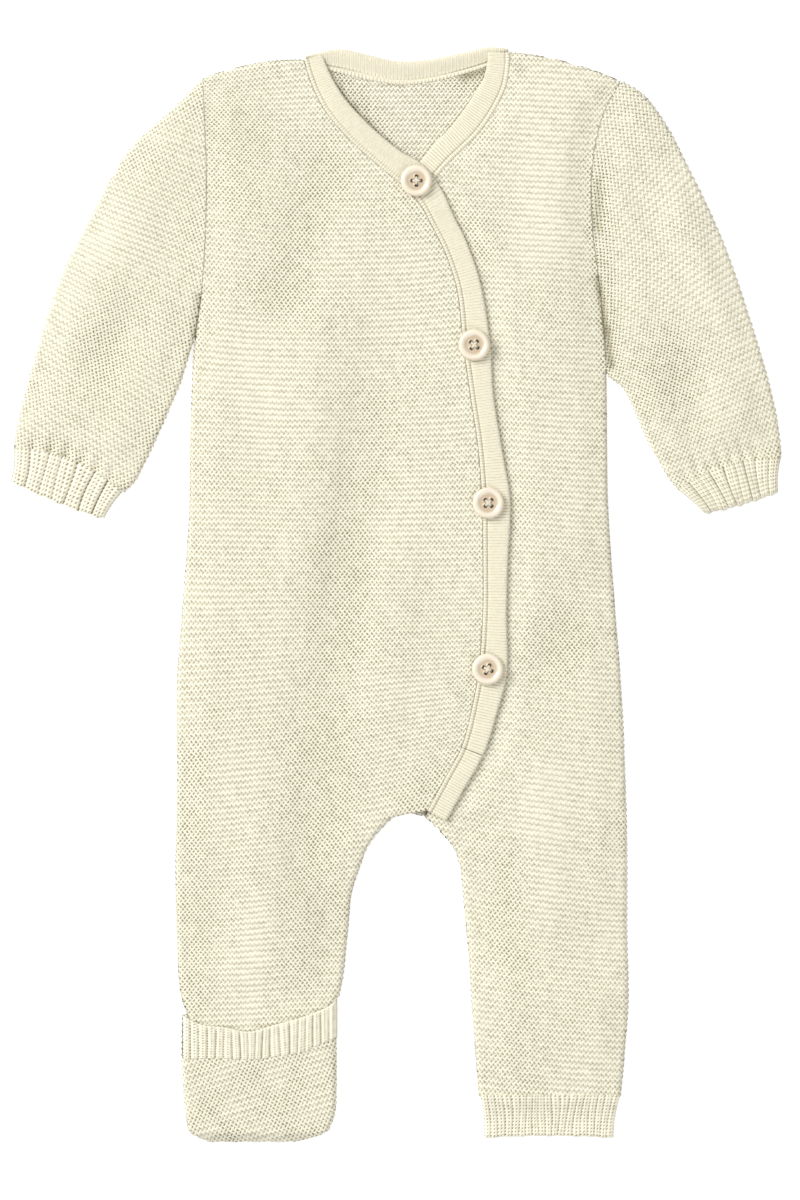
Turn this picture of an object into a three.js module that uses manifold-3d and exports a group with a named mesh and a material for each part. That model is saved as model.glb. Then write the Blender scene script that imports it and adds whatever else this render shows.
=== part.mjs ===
// Knitted baby romper laid flat, front up: long sleeves, long legs, a curved button placket that runs
// from the V of the neck to the crotch, rib cuffs, and knitted foot covers.
// Millimetres, +Z up, +Y toward the neck. Right and left are the wearer's: the right side is at -X.
import * as THREE from 'three';
import { mergeVertices } from 'three/addons/utils/BufferGeometryUtils.js';
import Module from 'manifold-3d';

const wasm = await Module();
wasm.setup();

// Walls and seams
const SEAM = 0.3; // gap between neighbours at a seam, and between pieces that lie on each other
const CURVED_SEAM = 0.7; // the same where the two edges follow a tight curve in straight steps
const KNIT = 2.2; // garter stitch wall
const RIB = 1.9; // rib wall without the raised ribs
const BAND = 2.0; // fine knitted edge band
const LAYER = KNIT + SEAM; // height that one garter layer takes up in the stack
const PUFF = 1.8; // air between front and back in the middle of a panel
const BAND_SEAT = 2 * LAYER; // underside of the long band where it lies over the button stand

// Ribs
const RIB_RISE = 0.6; // raised height of the broad ribs
const FINE_RISE = 0.4; // raised height of the fine leg ribs
const RIDGE = { width: 2.5, rise: 0.35 }; // linking ridge along the garment side of a band

// Buttons
const BUTTON = { radius: 8.9, thick: 3.0, dish: 0.9, dishRadius: 5.3, hole: 1.1, pitch: 3.4 };
const BUTTON_SEAT = BAND_SEAT + BAND + 0.5;

// Outer edges of back and fronts, down to the ends of the legs
const SIDES = [
  { y: 292, right: -109.3, left: 128.0 },
  { y: 270, right: -108.5, left: 116.5 },
  { y: 240, right: -107.4, left: 110.6 },
  { y: 206, right: -107.8, left: 111.0 },
  { y: 172, right: -110.0, left: 115.0 },
  { y: 145, right: -113.8, left: 117.6 },
  { y: 125, right: -115.0, left: 118.4 },
  { y: 83, right: -116.7, left: 118.8 },
  { y: 46, right: -117.0, left: 119.5 },
  { y: 1, right: -120.1, left: 122.6 },
  { y: -53, right: -124.0, left: 126.8 },
  { y: -98, right: -123.6, left: 129.0 },
  { y: -150, right: -124.6, left: 130.2 },
  { y: -190, right: -124.0, left: 130.2 },
  { y: -225, right: -121.8, left: 130.8 },
  { y: -240, right: -117.4, left: 130.2 },
  { y: -283, right: -116.8, left: 126.5 },
];

// Inner edges of the legs, from the crotch down
const CROTCH = { x: 7.6, y: -122.9 };
const INSEAMS = [
  { y: -122.9, right: 7.6, left: 7.6 },
  { y: -125.1, right: -0.8, left: 15.5 },
  { y: -129.7, right: -6.2, left: 20.6 },
  { y: -134.2, right: -10.5, left: 25.2 },
  { y: -143.2, right: -16.7, left: 32.6 },
  { y: -152.3, right: -20.1, left: 35.6 },
  { y: -161.3, right: -23.4, left: 37.0 },
  { y: -170.3, right: -25.7, left: 37.8 },
  { y: -188.4, right: -27.4, left: 39.4 },
  { y: -206.5, right: -29.1, left: 41.0 },
  { y: -224.6, right: -31.9, left: 42.1 },
  { y: -240, right: -37.6, left: 43.2 },
  { y: -283, right: -37.9, left: 46.5 },
];

// Garment side of the long band: neckline, V and placket, and the width of the band across it
const PLACKET = [
  { y: 301.7, edge: -52.3, width: 10.9 },
  { y: 291.8, edge: -49.4, width: 11.8 },
  { y: 281.8, edge: -45.3, width: 12.7 },
  { y: 270.4, edge: -38.7, width: 13.4 },
  { y: 257.0, edge: -27.0, width: 13.8 },
  { y: 247.8, edge: -17.1, width: 13.9 },
  { y: 238.7, edge: -6.3, width: 14.4 },
  { y: 230.0, edge: 4.0, width: 16.6 },
  { y: 220.1, edge: 13.3, width: 14.8 },
  { y: 209.9, edge: 18.9, width: 13.7 },
  { y: 193.5, edge: 27.1, width: 13.6 },
  { y: 171.5, edge: 34.2, width: 13.8 },
  { y: 141.0, edge: 37.6, width: 15.2 },
  { y: 111.0, edge: 41.8, width: 13.0 },
  { y: 83.0, edge: 45.9, width: 13.3 },
  { y: 52.0, edge: 48.2, width: 16.0 },
  { y: 20.0, edge: 48.7, width: 14.2 },
  { y: -10.0, edge: 48.6, width: 13.5 },
  { y: -42.0, edge: 46.4, width: 16.0 },
  { y: -63.0, edge: 42.7, width: 14.6 },
  { y: -86.0, edge: 36.6, width: 13.2 },
  { y: -104.0, edge: 27.0, width: 12.8 },
  { y: -122.0, edge: 17.2, width: 12.6 },
];
const STEP_Y = -86; // the placket's two bands meet here
const STAND_INSET = 1.2; // the button stand stops this far inside the band that covers it

// Garment side of the band on the left of the neckline, which slips under the V
const LEFT_NECK = [
  { y: 305.9, edge: 64.1, width: 12.4 },
  { y: 299.2, edge: 64.1, width: 12.8 },
  { y: 286.7, edge: 62.0, width: 13.8 },
  { y: 273.7, edge: 55.9, width: 14.8 },
  { y: 260.2, edge: 46.6, width: 14.8 },
  { y: 252.8, edge: 39.3, width: 14.0 },
  { y: 244.5, edge: 30.6, width: 13.2 },
  { y: 236.5, edge: 23.4, width: 12.6 },
  { y: 231.9, edge: 19.5, width: 12.6 },
];

// Band at the back of the neck: its seam to the back and its free edge
const BACK_NECK = [
  { x: -52.3, seam: 301.7, free: 303.6 },
  { x: -44, seam: 298.4, free: 306.0 },
  { x: -36.4, seam: 295.6, free: 307.6 },
  { x: -28, seam: 293.3, free: 307.5 },
  { x: -14, seam: 290.0, free: 304.2 },
  { x: 2, seam: 287.6, free: 301.0 },
  { x: 19, seam: 289.2, free: 302.2 },
  { x: 36, seam: 293.2, free: 305.6 },
  { x: 50, seam: 297.7, free: 308.7 },
  { x: 58, seam: 301.8, free: 308.9 },
  { x: 64.1, seam: 305.9, free: 307.9 },
];

// Rows of the panels: heights at the right side, at the neckline or placket, and at the left side
const YOKE_ROWS = [
  { right: 291.3, placket: 301.7, neck: 305.9, left: 289.6 },
  { right: 284, placket: 292.5, neck: 296, left: 283 },
  { right: 276, placket: 283.5, neck: 286.5, left: 276 },
  { right: 268, placket: 274.5, neck: 277, left: 268 },
  { right: 260, placket: 265.5, neck: 268, left: 260 },
  { right: 252, placket: 256.5, neck: 259, left: 252 },
  { right: 244, placket: 247.5, neck: 250.5, left: 244 },
  { right: 236, placket: 238.7, neck: 243, left: 236 },
  { right: 228, placket: 230, neck: 236.5, left: 228 },
  { right: 220, placket: 221.5, neck: 231.9, left: 220 },
  { right: 211, placket: 212, neck: 223, left: 211 },
];
const BODY_ROWS = [199, 186, 172, 158, 145, 135, 125, 111, 97, 83, 68, 52, 36, 20, 5, -10, -26, -42, -53, -63,
  -74, -86, -95, -104, -113];
const RIGHT_CROTCH_ROW = -121.8;
const LEFT_CROTCH_ROW = -120.5;
const LEG_ROWS = [-125.1, -129.7, -134.2, -143.2, -152.3, -161.3, -175, -190, -200, -208, -216, -224, -230,
  -236, -250, -266, -282.8];

// Soft folds of the upper layers: a ridge is high above 0, a trough below, faded out to its breadth
const FOLDS = [
  { from: [-38, 240], to: [-60, 166], high: -0.8, breadth: 15 },
  { from: [-4, 144], to: [-15, 70], high: -0.7, breadth: 16 },
  { from: [-15, 70], to: [-38, -60], high: -1.0, breadth: 17 },
  { from: [-38, -60], to: [-49, -150], high: -1.2, breadth: 17 },
  { from: [-105, -172], to: [-105, -225], high: -0.5, breadth: 12 },
  { from: [81, -43], to: [112, -3], high: -0.9, breadth: 16 },
  { from: [115, -190], to: [115, -212], high: -0.6, breadth: 13 },
  { from: [-46, 149], to: [-52, 20], high: 1.0, breadth: 18 },
  { from: [-74, -144], to: [-83, -215], high: 0.9, breadth: 17 },
  { from: [84, -105], to: [84, -184], high: 0.9, breadth: 17 },
  { from: [88, 262], to: [84, 120], high: 0.6, breadth: 15 },
  { from: [-125, 214], to: [-122, 190], high: -0.8, breadth: 12 },
  { from: [-170, 133], to: [-152, 150], high: -0.9, breadth: 13 },
  { from: [-139, 99], to: [-124, 127], high: -0.7, breadth: 11 },
  { from: [-150, 205], to: [-185, 110], high: 0.8, breadth: 16 },
  { from: [119, 240], to: [121, 150], high: -1.1, breadth: 9 },
  { from: [143, 234], to: [143, 212], high: -0.7, breadth: 12 },
  { from: [166, 121], to: [166, 82], high: -0.8, breadth: 12 },
  { from: [166, 212], to: [194, 166], high: 1.0, breadth: 16 },
  { from: [188, 110], to: [190, 85], high: 0.7, breadth: 13 },
];

// Sleeves laid flat: matching points down the upper edge and the underarm edge
const RIGHT_SLEEVE = [
  { top: [-109.6, 291.3], under: [-114.1, 145] },
  { top: [-128.5, 272.6], under: [-116.0, 138.5] },
  { top: [-148.3, 254.5], under: [-118.4, 130.5] },
  { top: [-161, 236], under: [-121.4, 120.5] },
  { top: [-171.5, 216], under: [-125.8, 110] },
  { top: [-181, 198], under: [-129.7, 100.9] },
  { top: [-189.5, 180], under: [-133.8, 91.6] },
  { top: [-196.5, 160], under: [-138.2, 82] },
  { top: [-202.5, 140], under: [-142.6, 73] },
  { top: [-208.5, 119], under: [-146.8, 64.7] },
  { top: [-213.8, 98], under: [-150.6, 60.4] },
  { top: [-216.1, 82.5], under: [-153.9, 57.9] },
];
const LEFT_SLEEVE = [
  { top: [128.3, 289.6], under: [118.7, 125] },
  { top: [141, 281], under: [121.5, 121.5] },
  { top: [153.4, 263.6], under: [127, 117.6] },
  { top: [164, 243], under: [131.6, 110] },
  { top: [174, 223], under: [135.6, 101] },
  { top: [183, 203], under: [139.2, 92.5] },
  { top: [191, 182], under: [143.2, 84] },
  { top: [198, 161], under: [147.4, 76.5] },
  { top: [204.6, 140], under: [151.6, 69] },
  { top: [210.6, 119], under: [155.4, 63.4] },
  { top: [215.2, 98], under: [158, 60.2] },
  { top: [217.6, 77.5], under: [158.6, 59.3] },
];

// Cuffs: top seam and free edge from the outer to the inner corner, and how far each line is bowed
const RIGHT_SLEEVE_CUFF = {
  seam: { from: [-215.6, 81.8], to: [-155, 57.2], bow: 5.6 },
  free: { from: [-217.6, 64.4], to: [-165, 43.2], bow: -1.6 },
  ribs: 7, rise: RIB_RISE,
};
const LEFT_SLEEVE_CUFF = {
  seam: { from: [216.6, 76.2], to: [159, 58.6], bow: -4.6 },
  free: { from: [215.4, 58.0], to: [173.4, 46.0], bow: -1.2 },
  ribs: 9, rise: RIB_RISE,
};
const LEFT_LEG_CUFF = {
  seam: { from: [47.4, -283.1], to: [126.2, -283.1], bow: 0 },
  free: { from: [49.6, -306.6], to: [122.4, -306.6], bow: 1.2 },
  ribs: 19, rise: FINE_RISE,
};
const RIGHT_LEG_CUFF = {
  seam: { from: [-115.4, -283.1], to: [-39.0, -283.1], bow: 0 },
  free: { from: [-112.0, -300.0], to: [-43.0, -300.0], bow: 0.6 },
  ribs: 19, rise: FINE_RISE,
};

// Foot cover of the right leg, turned up over the foot: rib edge line, rib seam, and pocket outline
const COVER_TOP = [
  { x: -120.6, y: -237.4 },
  { x: -110, y: -242.4 },
  { x: -97.5, y: -243.9 },
  { x: -83.3, y: -246.4 },
  { x: -68.6, y: -242.6 },
  { x: -54.5, y: -238.7 },
  { x: -44.9, y: -235.2 },
  { x: -33.4, y: -229.4 },
];
const COVER_SEAM = [
  { x: -120.8, y: -261.6 },
  { x: -97.5, y: -261.4 },
  { x: -79.4, y: -261.9 },
  { x: -65.3, y: -259.8 },
  { x: -53.6, y: -257.8 },
  { x: -44.4, y: -254.2 },
  { x: -33.6, y: -249.4 },
];
const POCKET = [
  { y: -237.0, right: -121.0, left: -33.6 },
  { y: -250, right: -121.2, left: -33.8 },
  { y: -264, right: -121.2, left: -33.7 },
  { y: -280, right: -120.4, left: -33.8 },
  { y: -291, right: -119.2, left: -34.4 },
  { y: -299, right: -118.2, left: -36.8 },
  { y: -304.5, right: -115.6, left: -41.5 },
  { y: -309.0, right: -106.0, left: -57.0 },
];
const COVER_RIBS = 9;
const FOOT_LIFT = { right: LAYER, left: 3.3 }; // the leg ends lie on what is tucked under them
const RAMP = { right: [-200, -236], left: [-190, -230] };

// Foot cover of the left leg, turned to the back, pressed flat under the leg
const TUCKED = { top: -231, seam: -255, bottom: -280, thick: 3.0, margin: 3.5 };

const CREAM = 0xece7d0;
const BAND_CREAM = 0xf0e6d2;
const NUT = 0xe9d8c0;

const lerp = (a, b, t) => a + (b - a) * t;
const mix = (p, q, t) => p.map((value, i) => lerp(value, q[i], t));
const clamp01 = (t) => Math.min(1, Math.max(0, t));
const smooth = (t) => clamp01(t) ** 2 * (3 - 2 * clamp01(t));

// Value of a column where the key column has the given value, by a smooth curve through the rows
function read(table, key, column, at) {
  const falling = table[0][key] > table[1][key];
  const passed = (row) => (falling ? row[key] <= at : row[key] >= at);
  const next = table.findIndex(passed);
  const i = Math.min(table.length - 1, Math.max(1, next < 0 ? table.length - 1 : next));
  const [p0, p1, p2, p3] = [i - 2, i - 1, i, i + 1].map((k) => table[Math.min(table.length - 1, Math.max(0, k))]);
  const span = p2[key] - p1[key];
  const t = clamp01((at - p1[key]) / span);
  const slope = (a, b) => (b[key] === a[key] ? 0 : ((b[column] - a[column]) / (b[key] - a[key])) * span);
  const m1 = slope(p0, p2);
  const m2 = slope(p1, p3);
  const t2 = t * t;
  const t3 = t2 * t;
  return (2 * t3 - 3 * t2 + 1) * p1[column] + (t3 - 2 * t2 + t) * m1
    + (3 * t2 - 2 * t3) * p2[column] + (t3 - t2) * m2;
}

// Height that the folds add at a place: each fades as a bell curve with the distance to its line
function relief(x, y) {
  let height = 0;
  for (const fold of FOLDS) {
    const [dx, dy] = [fold.to[0] - fold.from[0], fold.to[1] - fold.from[1]];
    const t = clamp01(((x - fold.from[0]) * dx + (y - fold.from[1]) * dy) / (dx * dx + dy * dy));
    const away = Math.hypot(x - fold.from[0] - t * dx, y - fold.from[1] - t * dy);
    height += fold.high * Math.exp(-((away / fold.breadth) ** 2));
  }
  return height;
}

// Lift of a leg end over what lies under it
function lift(x, y) {
  const side = x < CROTCH.x ? 'right' : 'left';
  const [start, full] = RAMP[side];
  return FOOT_LIFT[side] * smooth((start - y) / (start - full));
}

// How far the band has risen from the shoulder seam to its place over the button stand
const bandRise = (y) => LAYER * smooth((300 - y) / 42);

// Closed skins are gathered as triangles and joined where their points meet
class Skin {
  constructor() {
    this.points = [];
  }

  quad(a, b, c, d) {
    this.points.push(...a, ...b, ...c, ...a, ...c, ...d);
  }

  geometry() {
    const loose = new THREE.BufferGeometry();
    loose.setAttribute('position', new THREE.Float32BufferAttribute(this.points, 3));
    const geometry = mergeVertices(loose, 1e-4);
    const index = geometry.index.array;
    const kept = [];
    for (let i = 0; i < index.length; i += 3) {
      const [a, b, c] = [index[i], index[i + 1], index[i + 2]];
      if (a !== b && b !== c && c !== a) kept.push(a, b, c);
    }
    geometry.setIndex(kept);
    return geometry;
  }
}

// A flat panel as a grid: upper[i][j] and lower[i][j], rows from the neck down, columns toward +X.
// A wall closes each side row by row unless the panel goes on there.
function addSheet(skin, upper, lower, walls = {}) {
  const { right = () => true, left = () => true } = walls;
  const rows = upper.length;
  const last = upper[0].length - 1;
  for (let i = 0; i + 1 < rows; i += 1) {
    for (let j = 0; j < last; j += 1) {
      skin.quad(upper[i][j], upper[i + 1][j], upper[i + 1][j + 1], upper[i][j + 1]);
      skin.quad(lower[i][j], lower[i][j + 1], lower[i + 1][j + 1], lower[i + 1][j]);
    }
    if (right(i)) skin.quad(upper[i][0], lower[i][0], lower[i + 1][0], upper[i + 1][0]);
    if (left(i)) skin.quad(upper[i][last], upper[i + 1][last], lower[i + 1][last], lower[i][last]);
  }
  for (let j = 0; j < last; j += 1) {
    skin.quad(upper[0][j], upper[0][j + 1], lower[0][j + 1], lower[0][j]);
    skin.quad(upper[rows - 1][j], lower[rows - 1][j], lower[rows - 1][j + 1], upper[rows - 1][j + 1]);
  }
}

// Plan of a panel from rows of end points, then its two surfaces from a height and a wall
function addPanel(skin, rows, columns, height, wall, walls) {
  const plan = rows.map(({ from, to, rise = () => 0 }) => columns.map((u) => {
    const [x, y] = mix(from, to, u);
    return [x, y + rise(x, u)];
  }));
  const lower = plan.map((row) => row.map(([x, y]) => [x, y, height(x, y)]));
  const upper = lower.map((row) => row.map(([x, y, z]) => [x, y, z + wall]));
  addSheet(skin, upper, lower, walls);
}

// A tube or pocket from stations that each hold a ring of outer and of inner points
function tube(stations, closedEnd = false) {
  const skin = new Skin();
  const count = stations[0].outer.length;
  const next = (k) => (k + 1) % count;
  for (let i = 0; i + 1 < stations.length; i += 1) {
    const [a, b] = [stations[i], stations[i + 1]];
    for (let k = 0; k < count; k += 1) {
      skin.quad(a.outer[k], b.outer[k], b.outer[next(k)], a.outer[next(k)]);
      skin.quad(a.inner[k], a.inner[next(k)], b.inner[next(k)], b.inner[k]);
    }
  }
  const first = stations[0];
  const end = stations[stations.length - 1];
  const half = count / 2;
  for (let k = 0; k < count; k += 1) {
    skin.quad(first.outer[k], first.outer[next(k)], first.inner[next(k)], first.inner[k]);
    if (!closedEnd) skin.quad(end.outer[k], end.inner[k], end.inner[next(k)], end.outer[next(k)]);
  }
  if (closedEnd) {
    for (let k = 0; k < half; k += 1) {
      const [up, down] = [[k, k + 1], [(count - k) % count, count - k - 1]];
      skin.quad(end.outer[up[0]], end.outer[down[0]], end.outer[down[1]], end.outer[up[1]]);
      skin.quad(end.inner[up[0]], end.inner[up[1]], end.inner[down[1]], end.inner[down[0]]);
    }
  }
  return skin.geometry();
}

// Ring of a flattened tube between two edges. Point 0 is the first edge, the upper layer follows at
// the shares in across, then the second edge and the lower layer back. place(share, layer) gives x, y.
function flatRing({ across, place, base, height, wall, corner = 3.4, crest = 0, rise = () => 0 }) {
  const width = Math.hypot(...[0, 1].map((i) => place(1, 0)[i] - place(0, 0)[i]));
  const shape = (share, thick, reach) => {
    const inside = Math.min(share, 1 - share) * width;
    const turn = clamp01(1 - inside / reach);
    return thick * Math.sqrt(1 - turn * turn);
  };
  const shares = [{ share: 0, layer: 0 }, ...across.map((share) => ({ share, layer: 1 })),
    { share: 1, layer: 0 }, ...[...across].reverse().map((share) => ({ share, layer: -1 }))];
  const inset = wall / width;
  const outer = shares.map(({ share, layer }) => {
    const full = height(share) / 2;
    const half = shape(share, full, corner);
    const [x, y] = place(share, layer);
    const raised = [crest - rise(share), 0, rise(share)][layer + 1];
    return [x, y, base + full + layer * half + raised];
  });
  const inner = shares.map(({ share, layer }) => {
    const full = height(share) / 2;
    const half = shape(share, full - wall, 3);
    const held = inset + share * (1 - 2 * inset);
    const [x, y] = place(held, layer);
    return [x, y, base + full + layer * Math.max(half, layer === 0 ? 0 : 0.1)];
  });
  return { outer, inner };
}

const parts = new THREE.Group();

function addPart(name, geometry, color, roughness = 0.95) {
  const material = new THREE.MeshStandardMaterial({ color, roughness, metalness: 0 });
  const mesh = new THREE.Mesh(geometry, material);
  mesh.name = name;
  parts.add(mesh);
}

const sideAt = (side, y) => read(SIDES, 'y', side, y);
const inseamAt = (side, y) => read(INSEAMS, 'y', side, y);
const placketAt = (y) => read(PLACKET, 'y', 'edge', y);
const neckAt = (y) => read(LEFT_NECK, 'y', 'edge', y);

// Upper edge of the back: shoulder, back neckline, shoulder
function backTop(x) {
  const [rightNeck, leftNeck] = [BACK_NECK[0], BACK_NECK[BACK_NECK.length - 1]];
  const shoulder = (share, from, to) => lerp(from, to, share) + 12 * share * (1 - share);
  if (x < rightNeck.x) {
    const start = YOKE_ROWS[0].right;
    const edge = sideAt('right', start);
    return shoulder((x - edge) / (rightNeck.x - edge), start, rightNeck.seam);
  }
  if (x > leftNeck.x) {
    const start = YOKE_ROWS[0].left;
    const edge = sideAt('left', start);
    return shoulder((x - edge) / (leftNeck.x - edge), start, leftNeck.seam);
  }
  return read(BACK_NECK, 'x', 'seam', x) - CURVED_SEAM;
}

function makeBack() {
  const yoke = YOKE_ROWS.map(({ right, left }, k) => {
    const fade = (1 - k / (YOKE_ROWS.length - 1)) ** 1.5;
    const [from, to] = [[sideAt('right', right), right], [sideAt('left', left), left]];
    const top = [YOKE_ROWS[0].right, YOKE_ROWS[0].left];
    return { from, to, rise: (x, u) => fade * (backTop(x) - lerp(top[0], top[1], u)) };
  });
  const level = (y) => ({ from: [sideAt('right', y), y], to: [sideAt('left', y), y] });
  const torso = [...yoke, ...BODY_ROWS.filter((y, k) => y > 120 || k % 2 === 1).map(level), level(-118)];
  const rightRows = [];
  const leftRows = [];
  for (const row of torso) {
    const middle = (CROTCH.x - row.from[0]) / (row.to[0] - row.from[0]);
    rightRows.push({ from: row.from, to: mix(row.from, row.to, middle), middle, rise: row.rise });
    leftRows.push({ from: mix(row.from, row.to, middle), to: row.to, middle, rise: row.rise });
  }
  for (const y of [CROTCH.y, ...LEG_ROWS]) {
    rightRows.push({ from: [sideAt('right', y), y], to: [inseamAt('right', y), y] });
    leftRows.push({ from: [inseamAt('left', y), y], to: [sideAt('left', y), y] });
  }
  const whole = (rows, toWhole) => rows.map((row) => ({
    ...row, rise: row.rise ? (x, u) => row.rise(x, toWhole(row.middle, u)) : undefined,
  }));
  const joined = torso.length;
  const skin = new Skin();
  const rightColumns = [0, 0.25, 0.488, 0.62, 0.74, 0.87, 1];
  const leftColumns = [0, 0.12, 0.24, 0.36, 0.469, 0.73, 1];
  addPanel(skin, whole(rightRows, (m, u) => m * u), rightColumns, lift, KNIT, { left: (i) => i >= joined });
  addPanel(skin, whole(leftRows, (m, u) => m + (1 - m) * u), leftColumns, (x, y) => lift(x + 1e-6, y), KNIT,
    { right: (i) => i >= joined });
  addPart('back', skin.geometry(), CREAM);
}

const SHOULDER_BOW = 12;
const shoulderRise = (k) => (x, u) => SHOULDER_BOW * u * (1 - u) * Math.max(0, 1 - k / 6);

function makeRightFront() {
  const edge = (y) => placketAt(y) - SEAM;
  const rows = YOKE_ROWS.map(({ right, placket }, k) => ({
    from: [sideAt('right', right), right], to: [edge(placket), placket], rise: shoulderRise(k),
  }));
  for (const y of [...BODY_ROWS, RIGHT_CROTCH_ROW]) rows.push({ from: [sideAt('right', y), y], to: [edge(y), y] });
  for (const y of LEG_ROWS) rows.push({ from: [sideAt('right', y), y], to: [inseamAt('right', y), y] });
  const height = (x, y) => {
    const bodice = y > RIGHT_CROTCH_ROW - 1;
    const inner = bodice ? placketAt(y) : inseamAt('right', y);
    const fromSide = smooth((x - sideAt('right', y)) / 18);
    const fromTop = smooth((301 - y) / 26);
    const overFoot = smooth((y + 232) / 24);
    const soft = Math.max(0, PUFF + relief(x, y)) * fromSide * fromTop * overFoot;
    const near = 1 - smooth((inner - x - 6) / 24);
    const atEdge = bodice ? bandRise(y) : LAYER * smooth((y + 190) / 60);
    return lift(x, y) + LAYER + lerp(soft, atEdge, near);
  };
  const skin = new Skin();
  addPanel(skin, rows, [0, 0.07, 0.19, 0.33, 0.48, 0.63, 0.77, 0.89, 0.96, 1], height, KNIT);
  addPart('right_front', skin.geometry(), CREAM);
}

// Button side: its stand runs on under the long band
function makeLeftFront() {
  const standAt = (y) => placketAt(y) + STAND_INSET;
  const start = LEFT_NECK[LEFT_NECK.length - 1].y;
  const edge = (y) => (y >= start ? neckAt(y) + SEAM : standAt(y));
  const rows = YOKE_ROWS.map(({ neck, left }, k) => ({
    from: [edge(neck), neck], to: [sideAt('left', left), left], rise: shoulderRise(k),
  }));
  for (const y of [...BODY_ROWS, LEFT_CROTCH_ROW]) rows.push({ from: [standAt(y), y], to: [sideAt('left', y), y] });
  for (const y of LEG_ROWS) rows.push({ from: [inseamAt('left', y), y], to: [sideAt('left', y), y] });
  const height = (x, y) => {
    const bodice = y > LEFT_CROTCH_ROW - 1;
    const inner = bodice ? edge(y) + 20 * smooth((246 - y) / 14)
      : inseamAt('left', y) + 19 * smooth((y + 143) / 14);
    const fromPlacket = smooth((x - inner) / 26);
    const fromSide = smooth((sideAt('left', y) - x) / 18);
    const fromTop = smooth((303 - y) / 26);
    const fromCuff = lerp(0.25, 1, smooth((y + 283) / 30));
    const soft = Math.max(0, PUFF + relief(x, y)) * fromPlacket * fromSide * fromTop * fromCuff;
    return lift(x, y) + LAYER + soft;
  };
  const skin = new Skin();
  addPanel(skin, rows, [0, 0.1, 0.2, 0.31, 0.45, 0.6, 0.76, 0.92, 1], height, KNIT);
  addPart('left_front', skin.geometry(), CREAM);
}

// A band beside a panel edge: garment side at the edge, free side at the width along the normal,
// with the linking ridge raised next to the garment.
function bandSheet(table, heights, side, base, trim = 0) {
  const edges = heights.map((y) => [read(table, 'y', 'edge', y), y]);
  const { width: ridge, rise } = RIDGE;
  const shares = (width) => [0, 0.3 * ridge, 0.7 * ridge, ridge + 0.3, width - 0.9, width];
  const rises = [-0.1, rise, rise, -0.2, 0, -0.35];
  const upper = [];
  const lower = [];
  edges.forEach(([x, y], i) => {
    const [a, b] = [edges[Math.max(0, i - 1)], edges[Math.min(edges.length - 1, i + 1)]];
    const length = Math.hypot(b[0] - a[0], b[1] - a[1]);
    const normal = [side * (a[1] - b[1]) / length, side * (b[0] - a[0]) / length];
    const width = read(table, 'y', 'width', y) - trim;
    const line = shares(width).map((far) => [x + normal[0] * far, y + normal[1] * far]);
    const ordered = side > 0 ? line : [...line].reverse();
    const raised = side > 0 ? rises : [...rises].reverse();
    lower.push(ordered.map(([px, py]) => [px, py, base(y)]));
    upper.push(ordered.map(([px, py], k) => [px, py, base(y) + BAND + raised[k]]));
  });
  const skin = new Skin();
  addSheet(skin, upper, lower);
  return skin.geometry();
}

function makeBands() {
  const seat = (y) => LAYER + bandRise(y);
  const yoke = YOKE_ROWS.map(({ placket }) => placket);
  const long = [...yoke, ...BODY_ROWS.filter((y) => y >= STEP_Y)];
  addPart('placket_band', bandSheet(PLACKET, long, 1, seat), BAND_CREAM);
  const short = [STEP_Y - SEAM, ...BODY_ROWS.filter((y) => y < STEP_Y), RIGHT_CROTCH_ROW];
  addPart('placket_end', bandSheet(PLACKET, short, 1, seat, SEAM), BAND_CREAM);
  const leftNeck = YOKE_ROWS.map(({ neck }) => neck).filter((y) => y >= LEFT_NECK[LEFT_NECK.length - 1].y);
  addPart('left_neckband', bandSheet(LEFT_NECK, leftNeck, -1, () => LAYER), BAND_CREAM);
}

function makeBackNeckband() {
  const across = [0, 0.1, 0.2, 0.3, 0.92, 1];
  const rises = [-0.1, RIDGE.rise, RIDGE.rise, -0.2, 0, -0.3];
  const steps = 18;
  const first = BACK_NECK[0].x + 1;
  const final = BACK_NECK[BACK_NECK.length - 1].x - 1;
  const stations = Array.from({ length: steps + 1 }, (_, i) => lerp(first, final, i / steps));
  const rowsAcross = across.map((share, k) => stations.map((x) => {
    const [seam, free] = ['seam', 'free'].map((column) => read(BACK_NECK, 'x', column, x));
    return [x, lerp(seam, free, share), rises[k]];
  })).reverse();
  const skin = new Skin();
  addSheet(skin, rowsAcross.map((row) => row.map(([x, y, rise]) => [x, y, BAND + rise])),
    rowsAcross.map((row) => row.map(([x, y]) => [x, y, 0])));
  addPart('back_neckband', skin.geometry(), BAND_CREAM);
}

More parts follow.
